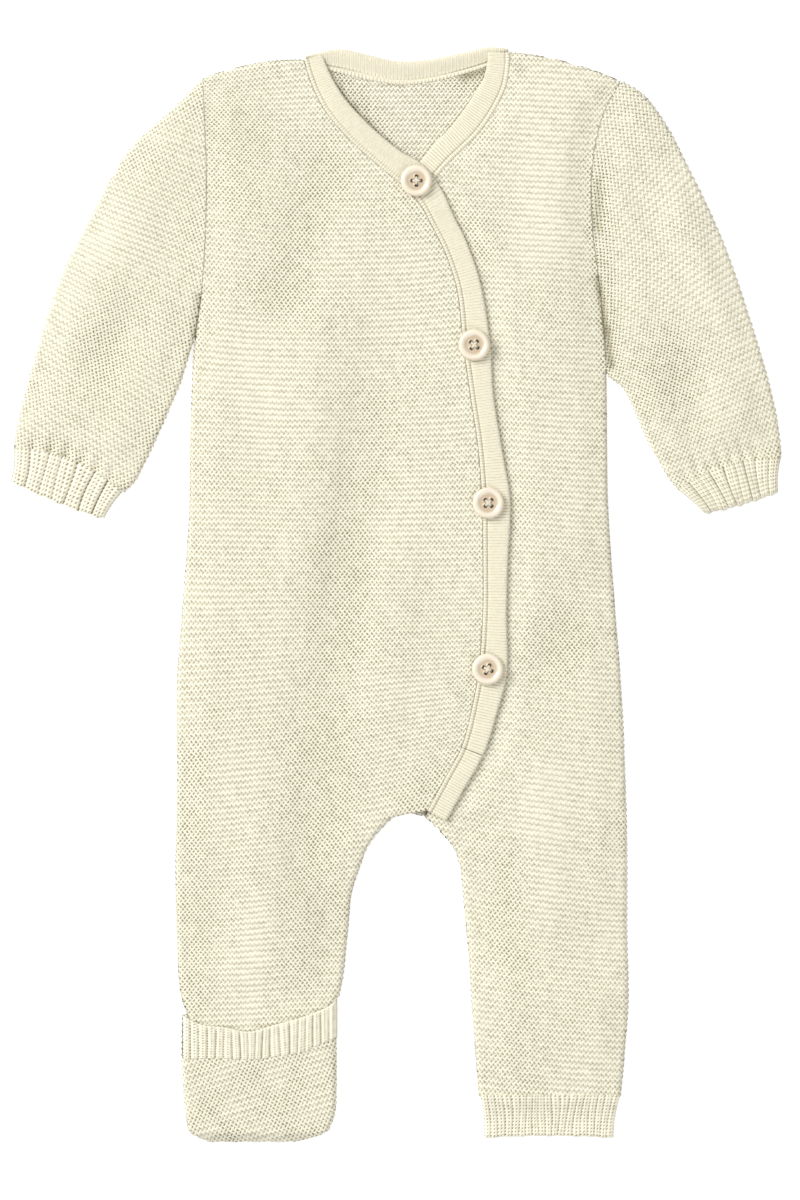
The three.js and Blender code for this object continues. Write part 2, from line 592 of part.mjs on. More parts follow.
// Sleeve: a flattened tube whose first ring follows the armhole
function makeSleeve(name, side, table, seamBow) {
  const sign = side === 'right' ? -1 : 1;
  const armhole = [table[0].top[1], table[0].under[1]];
  const heights = [...YOKE_ROWS.map((row) => row[side]), ...BODY_ROWS]
    .filter((y) => y < armhole[0] - 1 && y > armhole[1] + 3);
  const across = heights.map((y) => (armhole[0] - y) / (armhole[0] - armhole[1]));
  const stations = table.map(({ top, under }, i) => {
    const along = i / (table.length - 1);
    const place = (share) => {
      const [x, y] = mix(top, under, share);
      const seamX = sideAt(side, lerp(armhole[0], armhole[1], share)) + sign * SEAM;
      const straight = lerp(table[0].top[0], table[0].under[0], share);
      const bow = seamBow * Math.sin(Math.PI * share) * smooth((along - 0.6) / 0.4);
      return [x + (seamX - straight) * (1 - along) ** 3 - bow * 0.25 * sign, y + bow];
    };
    const height = (share) => {
      const [x, y] = place(share);
      const ends = smooth(along / 0.2) * smooth((1 - along) / 0.12);
      const edges = smooth(Math.min(share, 1 - share) / 0.16);
      return 2 * KNIT + SEAM + Math.max(0, PUFF + relief(x, y)) * ends * edges;
    };
    return flatRing({ across, place, base: 0, height, wall: KNIT });
  });
  if (side === 'left') stations.forEach(mirrorRing);
  addPart(name, tube(stations), CREAM);
}

// A ring that runs the other way round, so that its faces point outward on the opposite side
function mirrorRing(ring) {
  for (const points of [ring.outer, ring.inner]) points.reverse();
}

// Cuff: a flattened tube with its ribs raised on both faces
function makeCuff(name, cuff, base, mirrored) {
  const perRib = cuff.ribs > 12 ? [0, 0.5] : [0, 0.3, 0.7];
  const across = [];
  for (let rib = 0; rib < cuff.ribs; rib += 1) {
    for (const share of perRib) across.push((rib + share) / cuff.ribs);
  }
  across.shift();
  const rise = (share) => {
    const turn = (share * cuff.ribs) % 1;
    return turn < 0.1 || turn > 0.9 ? 0 : cuff.rise;
  };
  const steps = [0, 0.5, 1];
  const stations = steps.map((along) => {
    const place = (share) => {
      const bow = (line) => line.bow * 4 * share * (1 - share);
      const seam = mix(cuff.seam.from, cuff.seam.to, share);
      const free = mix(cuff.free.from, cuff.free.to, share);
      const pull = 0.8 * Math.sin(Math.PI * along);
      const [x, y] = mix([seam[0] + bow(cuff.seam) * 0.3, seam[1] + Math.abs(bow(cuff.seam))],
        [free[0], free[1] + bow(cuff.free)], along);
      return [x + pull * (1 - 2 * share) * Math.sign(cuff.seam.to[0] - cuff.seam.from[0]), y];
    };
    return flatRing({
      across, place, base: base(along), height: () => 2 * RIB + 0.5, wall: RIB, crest: cuff.rise, rise,
    });
  });
  if (mirrored) stations.forEach(mirrorRing);
  addPart(name, tube(stations), CREAM);
}

function makeRightFootCover() {
  const across = [0.012, 0.05, 0.2, 0.35, 0.5, 0.65, 0.76, 0.86, 0.95, 0.988];
  const full = 4 * KNIT + 3 * SEAM;
  const top = POCKET[0].y;
  const end = POCKET[POCKET.length - 1].y;
  const steps = [0, 0.12, 0.3, 0.5, 0.68, 0.82, 0.92, 1];
  const stations = steps.map((along) => {
    const place = (reach, inset) => (share, layer) => {
      const across = lerp(POCKET[2].right + inset, POCKET[2].left - inset, share);
      const front = read(COVER_SEAM, 'x', 'y', across) - CURVED_SEAM;
      const start = layer < 0 ? top : front;
      const y = lerp(start, end + reach, along);
      const [right, left] = ['right', 'left'].map((column) => read(POCKET, 'y', column, y - reach * along));
      return [lerp(right + inset, left - inset, share), y];
    };
    const height = full - 3.6 * smooth((along - 0.9) / 0.1);
    const ring = (reach, inset, wall) => flatRing({
      across, place: place(reach, inset), base: wall, height: () => height - 2 * wall, wall: 0.5,
      corner: wall > 0 ? 0.8 : 3,
    }).outer;
    return { outer: ring(0, 0, 0), inner: ring(KNIT, KNIT, KNIT) };
  });
  addPart('right_foot_cover', tube(stations, true), CREAM);
}

// Raised ribs across a strip: valley, crest, crest, then the next valley
function ribStrip({ from, to, upperEdge, lowerEdge, ribs, base, wall, rise, underside }) {
  const shares = [];
  for (let rib = 0; rib < ribs; rib += 1) {
    for (const part of [0, 0.28, 0.72]) shares.push({ share: (rib + part) / ribs, crest: part > 0 });
  }
  shares.push({ share: 1, crest: false });
  const rows = [0, 0.33, 0.67, 1].map((down) => shares.map(({ share, crest }) => {
    const x = lerp(from, to, share);
    return { x, y: lerp(upperEdge(x), lowerEdge(x), down), crest };
  }));
  const skin = new Skin();
  const face = (row, z, raised) => row.map(({ x, y, crest }) => [x, y, z + (crest ? raised : 0)]);
  addSheet(skin, rows.map((row) => face(row, base + wall, underside ? 0 : rise)),
    rows.map((row) => face(row, base + (underside ? rise : 0), underside ? -rise : 0)));
  return skin.geometry();
}

function makeRightCoverRib() {
  const line = (table) => (x) => read(table, 'x', 'y', x);
  addPart('right_foot_cover_rib', ribStrip({
    from: COVER_TOP[0].x, to: COVER_TOP[COVER_TOP.length - 1].x,
    upperEdge: line(COVER_TOP), lowerEdge: line(COVER_SEAM),
    ribs: COVER_RIBS, base: 3 * LAYER, wall: RIB, rise: RIB_RISE, underside: false,
  }), CREAM);
}

function makeLeftFootCover() {
  const right = (y) => inseamAt('left', y) + TUCKED.margin;
  const left = (y) => sideAt('left', y) - TUCKED.margin;
  const rows = [TUCKED.seam - SEAM, -263, -272, TUCKED.bottom].map((y) => ({ from: [right(y), y], to: [left(y), y] }));
  const skin = new Skin();
  addPanel(skin, rows, [0, 0.25, 0.5, 0.75, 1], () => 0, TUCKED.thick);
  addPart('left_foot_cover', skin.geometry(), CREAM);
  addPart('left_foot_cover_rib', ribStrip({
    from: right(TUCKED.top), to: left(TUCKED.top), upperEdge: () => TUCKED.top, lowerEdge: () => TUCKED.seam,
    ribs: COVER_RIBS, base: 0, wall: TUCKED.thick, rise: RIB_RISE, underside: true,
  }), CREAM);
}

function toSolid(geometry) {
  geometry.deleteAttribute('normal');
  geometry.deleteAttribute('uv');
  const merged = mergeVertices(geometry, 1e-4);
  const mesh = new wasm.Mesh({
    numProp: 3, vertProperties: merged.attributes.position.array, triVerts: Uint32Array.from(merged.index.array),
  });
  return new wasm.Manifold(mesh);
}

// Four-hole button: domed rim, dished middle, turned about its own axis
function makeButtons() {
  const { radius, thick, dish, dishRadius, hole, pitch } = BUTTON;
  const profile = [[0, 0], [radius - 2.2, 0], [radius - 0.5, 0.7], [radius, 1.5], [radius - 0.6, 2.4],
    [radius - 2.0, thick], [dishRadius + 0.6, thick - 0.35], [dishRadius - 0.6, thick - dish], [0, thick - dish]];
  const body = new THREE.LatheGeometry(profile.map(([r, z]) => new THREE.Vector2(r, z)), 16).rotateX(Math.PI / 2);
  const places = [
    { y: 233.3, x: 11.2, turn: Math.PI / 4 },
    { y: 140.7, x: 43.8, turn: 0.1 },
    { y: 51.6, x: 51.8, turn: 0 },
    { y: -42.1, x: 51.4, turn: 0.35 },
  ];
  places.forEach(({ x, y, turn }, i) => {
    let solid = toSolid(body.clone());
    for (const [sx, sy] of [[1, 1], [1, -1], [-1, -1], [-1, 1]]) {
      const drill = new THREE.CylinderGeometry(hole, hole, thick * 3, 8).rotateX(Math.PI / 2);
      drill.translate((sx * pitch) / 2, (sy * pitch) / 2, 0);
      solid = solid.subtract(toSolid(drill));
    }
    const { vertProperties, triVerts } = solid.getMesh();
    const geometry = new THREE.BufferGeometry();
    geometry.setAttribute('position', new THREE.Float32BufferAttribute(Float32Array.from(vertProperties), 3));
    geometry.setIndex(Array.from(triVerts));
    geometry.rotateZ(turn).translate(x, y, BUTTON_SEAT);
    addPart(`button_${i + 1}`, geometry, NUT, 0.45);
  });
}

makeBack();
makeRightFront();
makeLeftFront();
makeBands();
makeBackNeckband();
makeSleeve('right_sleeve', 'right', RIGHT_SLEEVE, RIGHT_SLEEVE_CUFF.seam.bow);
makeSleeve('left_sleeve', 'left', LEFT_SLEEVE, -LEFT_SLEEVE_CUFF.seam.bow);
makeCuff('right_sleeve_cuff', RIGHT_SLEEVE_CUFF, () => 0, false);
makeCuff('left_sleeve_cuff', LEFT_SLEEVE_CUFF, () => 0, true);
makeCuff('right_leg_cuff', RIGHT_LEG_CUFF, () => LAYER, false);
makeCuff('left_leg_cuff', LEFT_LEG_CUFF, (along) => FOOT_LIFT.left * (1 - smooth(along / 0.7)), false);
makeRightFootCover();
makeRightCoverRib();
makeLeftFootCover();
makeButtons();

export default parts;
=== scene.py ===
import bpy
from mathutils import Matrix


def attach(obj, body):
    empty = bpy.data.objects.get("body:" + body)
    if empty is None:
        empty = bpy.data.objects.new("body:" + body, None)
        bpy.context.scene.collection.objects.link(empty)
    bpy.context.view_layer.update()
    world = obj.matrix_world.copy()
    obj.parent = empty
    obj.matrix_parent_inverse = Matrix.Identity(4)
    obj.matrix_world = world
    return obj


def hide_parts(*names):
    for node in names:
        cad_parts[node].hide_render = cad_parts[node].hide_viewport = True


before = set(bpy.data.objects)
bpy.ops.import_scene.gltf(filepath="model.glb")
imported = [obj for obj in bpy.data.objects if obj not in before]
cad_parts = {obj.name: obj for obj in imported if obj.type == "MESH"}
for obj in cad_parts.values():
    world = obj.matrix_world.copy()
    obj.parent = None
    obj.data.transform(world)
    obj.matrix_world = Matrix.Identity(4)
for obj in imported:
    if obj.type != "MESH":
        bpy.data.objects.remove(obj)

"""Knitted baby romper laid flat, front up.

Lengths are in millimetres in the tables and formulas, and become metres when a mesh is made. +Z is
up, +Y toward the neck. Right and left are the wearer's: the right side is at -X.
"""

import logging
import math
from dataclasses import dataclass, field
from enum import Enum
from typing import Callable

import bpy
import numpy as np
from mathutils import Vector
from mathutils.geometry import delaunay_2d_cdt

logging.basicConfig(level=logging.INFO, format="%(message)s")
log = logging.getLogger("romper")

Numbers = np.ndarray | float

METRE = 0.001  # one millimetre in metres
WELD = 500  # parts of a millimetre to which points have to agree to become one
RIM_WELD = 50  # the same for points that a lattice's cut moves to its outline

# Walls, seams and heights
SEAM = 0.3  # gap between two layers
KNIT = 2.2  # wall of the garter stitch
RIB = 1.9  # wall of the ribs
BAND = 2.0  # wall of the bands
LAYER = KNIT + SEAM
PUFF = 1.9  # usual height of the air between front and back
RIB_RISE = 0.6  # height of the broad ribs
FINE_RISE = 0.4  # height of the fine ribs
RIM_DROP = 0.35  # how far the rim at a fold lies below the sheet's underside

# Stitches
WALE = 2.54  # width of one garter stitch
RIDGE_PITCH = 3.28  # height of one garter ridge, two rows of stitches
SLANT = 0.8  # how far the bumps of garter stitch lean, in radians of a stitch
RIB_ROW = 1.9  # height of one stitch in the ribs
STRIPE = 1.6  # pitch of the fine rows across a band
ROUND_OVER = 3.0  # how far in from a fold a knitted sheet turns over
SEAM_TURN = 1.3  # the same at a seam or a free edge
SEAM_DIP = 0.15  # how far a seam lies below the face
TOUCH = -0.2  # how far a sewn edge falls short of its seam; below zero it reaches past it
SCALLOP = 0.4  # how far each ridge stands out at a fold or free edge
FOLD_SHARPEN = 2.3  # the cloth's folds against those of the solids
RELIEF_SINK = 0.3  # how far the mean of the stitches lies inside the wall
CHAIN = 2.0  # pitch of the chain stitch that links a band
CHAIN_AT = 1.25  # how far it lies from the band's seam

# Places
CROTCH = (7.6, -122.9)
FORK = -125.1  # below it the legs part
STEP_Y = -86.0  # cross seam between the long band and its lower piece
STAND_INSET = 1.2  # how far the button stand lies inside the band's seam
RIGHT_CROTCH_ROW = -121.8  # where the right front's edge leaves the band
LEFT_CROTCH_ROW = -120.5
LEG_END = -283.1
STAND_START = 231.9  # the V, where the button stand begins
NECK_TOP = {"right": 301.7, "left": 305.9}
SHOULDER_BOW = 12.0  # four times the height of the shoulder's bow

# y, right side, left side
SIDES = np.array([
    (292, -109.3, 128.0), (270, -108.5, 116.5), (240, -107.4, 110.6), (206, -107.8, 111.0),
    (172, -110.0, 115.0), (145, -113.8, 117.6), (125, -115.0, 118.4), (83, -116.7, 118.8),
    (46, -117.0, 119.5), (1, -120.1, 122.6), (-53, -124.0, 126.8), (-98, -123.6, 129.0),
    (-150, -124.6, 130.2), (-190, -124.0, 130.2), (-225, -121.8, 130.8), (-240, -117.4, 130.2),
    (-283, -116.8, 126.5),
])
# y, right leg, left leg
INSEAMS = np.array([
    (-122.9, 7.6, 7.6), (-125.1, -0.8, 15.5), (-129.7, -6.2, 20.6), (-134.2, -10.5, 25.2),
    (-143.2, -16.7, 32.6), (-152.3, -20.1, 35.6), (-161.3, -23.4, 37.0), (-170.3, -25.7, 37.8),
    (-188.4, -27.4, 39.4), (-206.5, -29.1, 41.0), (-224.6, -31.9, 42.1), (-240, -37.6, 43.2),
    (-283, -37.9, 46.5),
])
# y, garment side of the band, width of the band
PLACKET = np.array([
    (301.7, -52.3, 10.9), (291.8, -49.4, 11.8), (281.8, -45.3, 12.7), (270.4, -38.7, 13.4),
    (257.0, -27.0, 13.8), (247.8, -17.1, 13.9), (238.7, -6.3, 14.4), (230.0, 4.0, 16.6),
    (220.1, 13.3, 14.8), (209.9, 18.9, 13.7), (193.5, 27.1, 13.6), (171.5, 34.2, 13.8),
    (141.0, 37.6, 15.2), (111.0, 41.8, 13.0), (83.0, 45.9, 13.3), (52.0, 48.2, 16.0),
    (20.0, 48.7, 14.2), (-10.0, 48.6, 13.5), (-42.0, 46.4, 16.0), (-63.0, 42.7, 14.6),
    (-86.0, 36.6, 13.2), (-104.0, 27.0, 12.8), (-122.0, 17.2, 12.6),
])
LEFT_NECK = np.array([
    (305.9, 64.1, 12.4), (299.2, 64.1, 12.8), (286.7, 62.0, 13.8), (273.7, 55.9, 14.8),
    (260.2, 46.6, 14.8), (252.8, 39.3, 14.0), (244.5, 30.6, 13.2), (236.5, 23.4, 12.6),
    (231.9, 19.5, 12.6),
])
# x, seam to the back, free edge
BACK_NECK = np.array([
    (-52.3, 301.7, 303.6), (-44, 298.4, 306.0), (-36.4, 295.6, 307.6), (-28, 293.3, 307.5),
    (-14, 290.0, 304.2), (2, 287.6, 301.0), (19, 289.2, 302.2), (36, 293.2, 305.6),
    (50, 297.7, 308.7), (58, 301.8, 308.9), (64.1, 305.9, 307.9),
])
SHOULDER_END = {"right": 291.3, "left": 289.6}
UNDERARM = {"right": 145.0, "left": 125.0}

# from x, y, to x, y, height, breadth
FOLDS = np.array([
    (-38, 240, -60, 166, -0.8, 15), (-4, 144, -15, 70, -0.7, 16), (-15, 70, -38, -60, -1.0, 17),
    (-38, -60, -49, -150, -1.2, 17), (-105, -172, -105, -225, -0.5, 12),
    (81, -43, 112, -3, -0.9, 16), (115, -190, 115, -212, -0.6, 13), (-46, 149, -52, 20, 1.0, 18),
    (-74, -144, -83, -215, 0.9, 17), (84, -105, 84, -184, 0.9, 17), (88, 262, 84, 120, 0.6, 15),
    (-125, 214, -122, 190, -0.8, 12), (-170, 133, -152, 150, -0.9, 13),
    (-139, 99, -124, 127, -0.7, 11), (-150, 205, -185, 110, 0.8, 16),
    (143, 234, 143, 212, -0.7, 12), (166, 121, 166, 82, -0.8, 12), (166, 212, 194, 166, 1.0, 16),
    (188, 110, 190, 85, 0.7, 13), (-165, 82, -175, 70, 0.8, 9), (0, 20, -8, -60, 0.5, 14),
])

# Sharp creases beside the armholes, which also get painted shade: from x, y, to x, y, depth, breadth
CREASES = np.array([
    (113.8, 232, 113.5, 206, 0.6, 4.5), (113.8, 178, 118.5, 148, 1.1, 2.6),
    (118.5, 148, 121.5, 130, 1.0, 2.6), (-110.8, 168, -113.6, 146, 1.8, 2.0),
])

# Where the knitting is pulled open or lies dense; the open places also carry painted shade along folds:
# from x, y, to x, y, amount, breadth
OPENINGS = np.array([
    (-38, 240, -66, 172, 0.5, 16), (115, 242, 114, 206, 0.6, 7), (114, 206, 121, 128, 0.7, 5.5),
    (-170, 138, -166, 128, 0.5, 16), (-196, 76, -190, 72, 0.4, 12), (-114, 144, -139, 87, 0.3, 8),
    (158, 142, 162, 132, 0.45, 20), (-20, 108, -32, 20, 0.3, 16), (-32, 20, -43, -116, 0.5, 20),
    (-43, -116, -49, -206, 0.5, 18), (-114, -94, -117, -229, 0.4, 12),
    (16, -110, 10, -112, 0.45, 13), (90, -28, 96, -22, 0.7, 17), (40, -54, 42, -50, 0.25, 10),
    (81, 268, 84, 200, -0.35, 22), (84, -105, 84, -184, -0.3, 15), (-83, 150, -76, 82, -0.25, 14),
    (194, 195, 172, 234, -0.3, 15), (-80, -173, -82, -235, -0.35, 7), (194, 195, 205, 112, -0.25, 17),
    (160, 190, 176, 112, -0.22, 14), (-160, 222, -190, 140, -0.2, 15), (-92, 288, -84, 218, 0.3, 24),
    (62, -150, 68, -262, 0.28, 14), (150, 128, 168, 90, 0.3, 12), (40, 215, 48, 190, 0.2, 14),
])

# The same columns, as painted shade on the back where it lies deep behind the neck bands
NECK_SHADE = np.array([(-38, 296, -12, 258, 0.9, 9), (38, 293, 52, 296, 1.1, 8)])

# upper edge x, y, underarm edge x, y
RIGHT_SLEEVE = np.array([
    (-109.6, 291.3, -114.1, 145), (-128.5, 272.6, -116.0, 138.5), (-148.3, 254.5, -118.4, 130.5),
    (-161, 236, -121.4, 120.5), (-171.5, 216, -125.8, 110), (-181, 198, -129.7, 100.9),
    (-189.5, 180, -133.8, 91.6), (-196.5, 160, -138.2, 82), (-202.5, 140, -142.6, 73),
    (-208.5, 119, -146.8, 64.7), (-213.8, 98, -150.6, 60.4), (-216.1, 82.5, -153.9, 57.9),
])
LEFT_SLEEVE = np.array([
    (128.3, 289.6, 118.7, 125), (141, 281, 121.5, 121.5), (153.4, 263.6, 127, 117.6),
    (164, 243, 131.6, 110), (174, 223, 135.6, 101), (183, 203, 139.2, 92.5),
    (191, 182, 143.2, 84), (198, 161, 147.4, 76.5), (204.6, 140, 151.6, 69),
    (210.6, 119, 155.4, 63.4), (215.2, 98, 158, 60.2), (217.6, 77.5, 158.6, 59.3),
])

# Rib edge of the right foot cover, its free edge and its seam: x, y
COVER_TOP = np.array([
    (-120.6, -237.4), (-110, -242.4), (-97.5, -243.9), (-83.3, -246.4), (-68.6, -242.6),
    (-54.5, -238.7), (-44.9, -235.2), (-37.4, -231.6), (-35.2, -229.2), (-33.4, -226.4),
])
COVER_SEAM = np.array([
    (-120.8, -261.6), (-97.5, -261.4), (-79.4, -261.9), (-65.3, -259.8), (-53.6, -257.8),
    (-44.4, -254.2), (-33.6, -249.4),
])
# y, right edge, left edge
POCKET = np.array([
    (-237.0, -121.0, -33.6), (-250, -121.2, -33.8), (-264, -121.2, -33.7), (-280, -120.4, -33.8),
    (-291, -119.2, -34.4), (-299, -118.2, -36.8), (-304.5, -115.6, -41.5), (-309.0, -106.0, -57.0),
])
COVER_RIBS = 19
COVER_RIB_SIZE = (87, 24)  # across and along the ribs
FOOT_LIFT = {"right": LAYER, "left": 3.3}  # how high each leg end lies over its foot cover
RAMP = {"right": (-200.0, -236.0), "left": (-190.0, -230.0)}  # y where each leg rises, first and last
TUCKED = {"top": -231.0, "seam": -255.0, "bottom": -280.0, "thick": 3.0, "margin": 3.5}

# x, y, turn in radians
BUTTONS = ((11.2, 233.3, math.pi / 4), (43.8, 140.7, 0.1), (51.8, 51.6, 0.0), (51.4, -42.1, 0.35))

# Rows of the fronts are not level: y, slope at the lower x and at the higher x of each front
RIGHT_TILT = np.array([
    (300, 0.16, 0.0), (240, -0.10, 0.10), (150, -0.09, 0.10), (60, -0.04, 0.05), (0, 0.0, 0.02),
    (-50, 0.07, 0.09), (-110, 0.09, 0.24), (-150, 0.08, 0.22), (-210, 0.05, 0.12),
    (-283, 0.05, 0.10),
])
LEFT_TILT = np.array([
    (300, 0.0, -0.14), (240, -0.05, -0.06), (150, -0.07, -0.05), (60, -0.08, -0.05),
    (-50, -0.09, -0.07), (-110, -0.17, -0.08), (-180, -0.18, -0.06), (-283, -0.10, -0.05),
])


def smooth(t: np.ndarray) -> np.ndarray:
    """Eases from 0 to 1: t squared times (3 - 2t), with t kept between 0 and 1."""
    t = np.clip(t, 0.0, 1.0)
    return t * t * (3 - 2 * t)


def bell(t: np.ndarray, power: int = 2) -> np.ndarray:
    """Bell curve: e to the power of minus t squared, or of a higher even power."""
    return np.exp(-(t ** power))


def read(table: np.ndarray, column: int, at: Numbers) -> np.ndarray:
    """Value of a column where the first column has the given value.

    A cubic curve runs through the rows; its slope at a row is that of the chord between the rows
    on either side.

    Args:
        table: rows in rising or falling order of their first column.
        column: column to read.
        at: where to read it.

    Returns:
        The values, in the shape of at.
    """
    rows = table if table[0, 0] < table[-1, 0] else table[::-1]
    keys, values = rows[:, 0], rows[:, column]
    at = np.asarray(at, float)
    i = np.clip(np.searchsorted(keys, at), 1, len(keys) - 1)
    before, after = np.maximum(i - 2, 0), np.minimum(i + 1, len(keys) - 1)
    span = keys[i] - keys[i - 1]
    t = np.clip((at - keys[i - 1]) / span, 0.0, 1.0)
    m1 = (values[i] - values[before]) / (keys[i] - keys[before]) * span
    m2 = (values[after] - values[i - 1]) / (keys[after] - keys[i - 1]) * span
    t2, t3 = t * t, t * t * t
    return ((2 * t3 - 3 * t2 + 1) * values[i - 1] + (t3 - 2 * t2 + t) * m1
            + (3 * t2 - 2 * t3) * values[i] + (t3 - t2) * m2)


def bells(table: np.ndarray, x: np.ndarray, y: np.ndarray) -> np.ndarray:
    """Sum of the table's lines at each place.

    Args:
        table: from x, y, to x, y, amount, breadth.
        x: places.
        y: places.

    Returns:
        The sum of amount times a bell curve of the distance to each line.
    """
    total = np.zeros(np.shape(x))
    for ax, ay, bx, by, amount, breadth in table:
        dx, dy = bx - ax, by - ay
        t = np.clip(((x - ax) * dx + (y - ay) * dy) / (dx * dx + dy * dy), 0.0, 1.0)
        away = np.hypot(x - ax - t * dx, y - ay - t * dy)
        total = total + amount * bell(away / breadth)
    return total


def air_under(x: np.ndarray, y: np.ndarray) -> np.ndarray:
    """Air under a panel: puff + 0.75 folds where they rise, puff e^(folds / puff) where they sink."""
    folds = bells(FOLDS, x, y) * FOLD_SHARPEN
    return np.where(folds > 0, PUFF + 0.75 * folds, PUFF * np.exp(np.minimum(folds, 0) / PUFF))


def ripple(x: np.ndarray, y: np.ndarray, seed: int, length: float) -> np.ndarray:
    """Soft unevenness between about -1 and 1: nine plane waves of random direction and length.

    Args:
        x: places.
        y: places.
        seed: number that picks the waves.
        length: middle wavelength.

    Returns:
        The sum of the waves over the root of their number.
    """
    rng = np.random.default_rng(seed)
    total = np.zeros(np.shape(x))
    for turn, phase, scale in zip(rng.uniform(0, 2 * np.pi, 9), rng.uniform(0, 2 * np.pi, 9),
                                  rng.uniform(0.6, 1.7, 9)):
        wave = 2 * np.pi / (length * scale)
        total = total + np.sin(wave * (x * np.cos(turn) + y * np.sin(turn)) + phase)
    return total / 3.0


def lift(x: np.ndarray, y: np.ndarray) -> np.ndarray:
    """Lift of a leg end over what lies under it, by an eased ramp down each leg."""
    right, left = (FOOT_LIFT[side] * smooth((start - y) / (start - end))
                   for side, (start, end) in RAMP.items())
    return np.where(x < CROTCH[0], right, left)


def side_at(side: str, y: Numbers) -> np.ndarray:
    """x of a side edge at y."""
    return read(SIDES, 1 if side == "right" else 2, y)


def inseam_at(side: str, y: Numbers) -> np.ndarray:
    """x of the inner edge of a leg at y."""
    return read(INSEAMS, 1 if side == "right" else 2, y)


def placket_at(y: Numbers) -> np.ndarray:
    """x of the long band's seam at y."""
    return read(PLACKET, 1, y)


def leg_end(side: str) -> np.ndarray:
    """Points of the seam between a leg and its cuff, from the side to the inseam."""
    x0, x1 = side_at(side, LEG_END), inseam_at(side, LEG_END)
    return column(x0 + (x1 - x0) * np.linspace(0.04, 0.96, 24), LEG_END)


def band_rise(y: Numbers) -> np.ndarray:
    """Height the long band has gained from the shoulder seam on, over the button stand."""
    return LAYER * smooth((300 - np.asarray(y, float)) / 42)


def column(x: Numbers, y: Numbers) -> np.ndarray:
    """Points from two arrays or numbers, side by side."""
    x, y = np.broadcast_arrays(np.asarray(x, float), np.asarray(y, float))
    return np.stack([x.ravel(), y.ravel()], axis=1)


class Slot(Enum):
    """Material slots of the record."""

    GARTER = "garter_knit"
    RIB = "rib_knit"
    BAND = "band_knit"
    BUTTON = "buttons"


# Shader nodes


class Value:
    """Output of a shader node that takes part in ordinary arithmetic."""

    def __init__(self, shader: "Shader", socket: bpy.types.NodeSocket | None) -> None:
        """Keeps the socket and the material that it belongs to."""
        self.shader = shader
        self.socket = socket

    def _math(self, operation: str, *others: "Value | float") -> "Value":
        """Math node with this value first."""
        return self.shader.math(operation, self, *others)

    def __add__(self, other: "Value | float") -> "Value":
        """self + other."""
        return self._math("ADD", other)

    __radd__ = __add__

    def __sub__(self, other: "Value | float") -> "Value":
        """self - other."""
        return self._math("SUBTRACT", other)

    def __rsub__(self, other: float) -> "Value":
        """other - self."""
        return self.shader.math("SUBTRACT", other, self)

    def __mul__(self, other: "Value | float") -> "Value":
        """self times other."""
        return self._math("MULTIPLY", other)

    __rmul__ = __mul__

    def __neg__(self) -> "Value":
        """Minus self."""
        return self._math("MULTIPLY", -1.0)

    def cos(self) -> "Value":
        """Cosine of an angle in radians."""
        return self._math("COSINE")

    def sin(self) -> "Value":
        """Sine of an angle in radians."""
        return self._math("SINE")

    def ease(self, low: float, high: float) -> "Value":
        """0 below low and 1 above high, eased between them."""
        limits = {"Value": self, "From Min": low, "From Max": high}
        return self.shader.node("ShaderNodeMapRange", limits, interpolation_type="SMOOTHSTEP")


class Shader:
    """Material whose nodes are made one after the other."""

    def __init__(self, name: str) -> None:
        """Starts an empty material.

        Args:
            name: its name.
        """
        self.material = bpy.data.materials.new(name)
        self.material.use_nodes = True
        self.tree = self.material.node_tree
        self.tree.nodes.clear()

    def node(self, kind: str, inputs: dict | None = None, output: int | str = 0,
             **settings: object) -> Value:
        """Makes a node of any kind.

        Args:
            kind: node type.
            inputs: values, or numbers and tuples, by socket name or index.
            output: socket that the result is taken from.
            **settings: properties of the node.

        Returns:
            The chosen output.
        """
        made = self.tree.nodes.new(kind)
        for key, value in settings.items():
            setattr(made, key, value)
        for key, value in (inputs or {}).items():
            socket = made.inputs[key]
            if isinstance(value, Value):
                self.tree.links.new(value.socket, socket)
            else:
                socket.default_value = value
        return Value(self, made.outputs[output]) if len(made.outputs) else Value(self, None)

    def math(self, operation: str, *values: Value | float) -> Value:
        """Math node."""
        return self.node("ShaderNodeMath", dict(enumerate(values)), operation=operation)

    def noise(self, place: Value, scale: float, detail: float) -> Value:
        """Soft noise around 0.5, with about scale blobs in a metre."""
        return self.node("ShaderNodeTexNoise", {"Vector": place, "Scale": scale, "Detail": detail})

    def colour(self, factor: Value, first: Value | tuple, second: Value | tuple) -> Value:
        """Mixes two colours, given as tuples or outputs."""
        return self.node("ShaderNodeMix", {0: factor, 6: first, 7: second}, output=2, data_type="RGBA")

    def finish(self, **inputs: Value | float | tuple) -> bpy.types.Material:
        """Ends the material with one surface node.

        Args:
            **inputs: values of the node's sockets, by name with underlines for spaces.

        Returns:
            The material.
        """
        named = {key.replace("_", " "): value for key, value in inputs.items()}
        surface = self.node("ShaderNodeBsdfPrincipled", named)
        self.node("ShaderNodeOutputMaterial", {"Surface": surface})
        return self.material


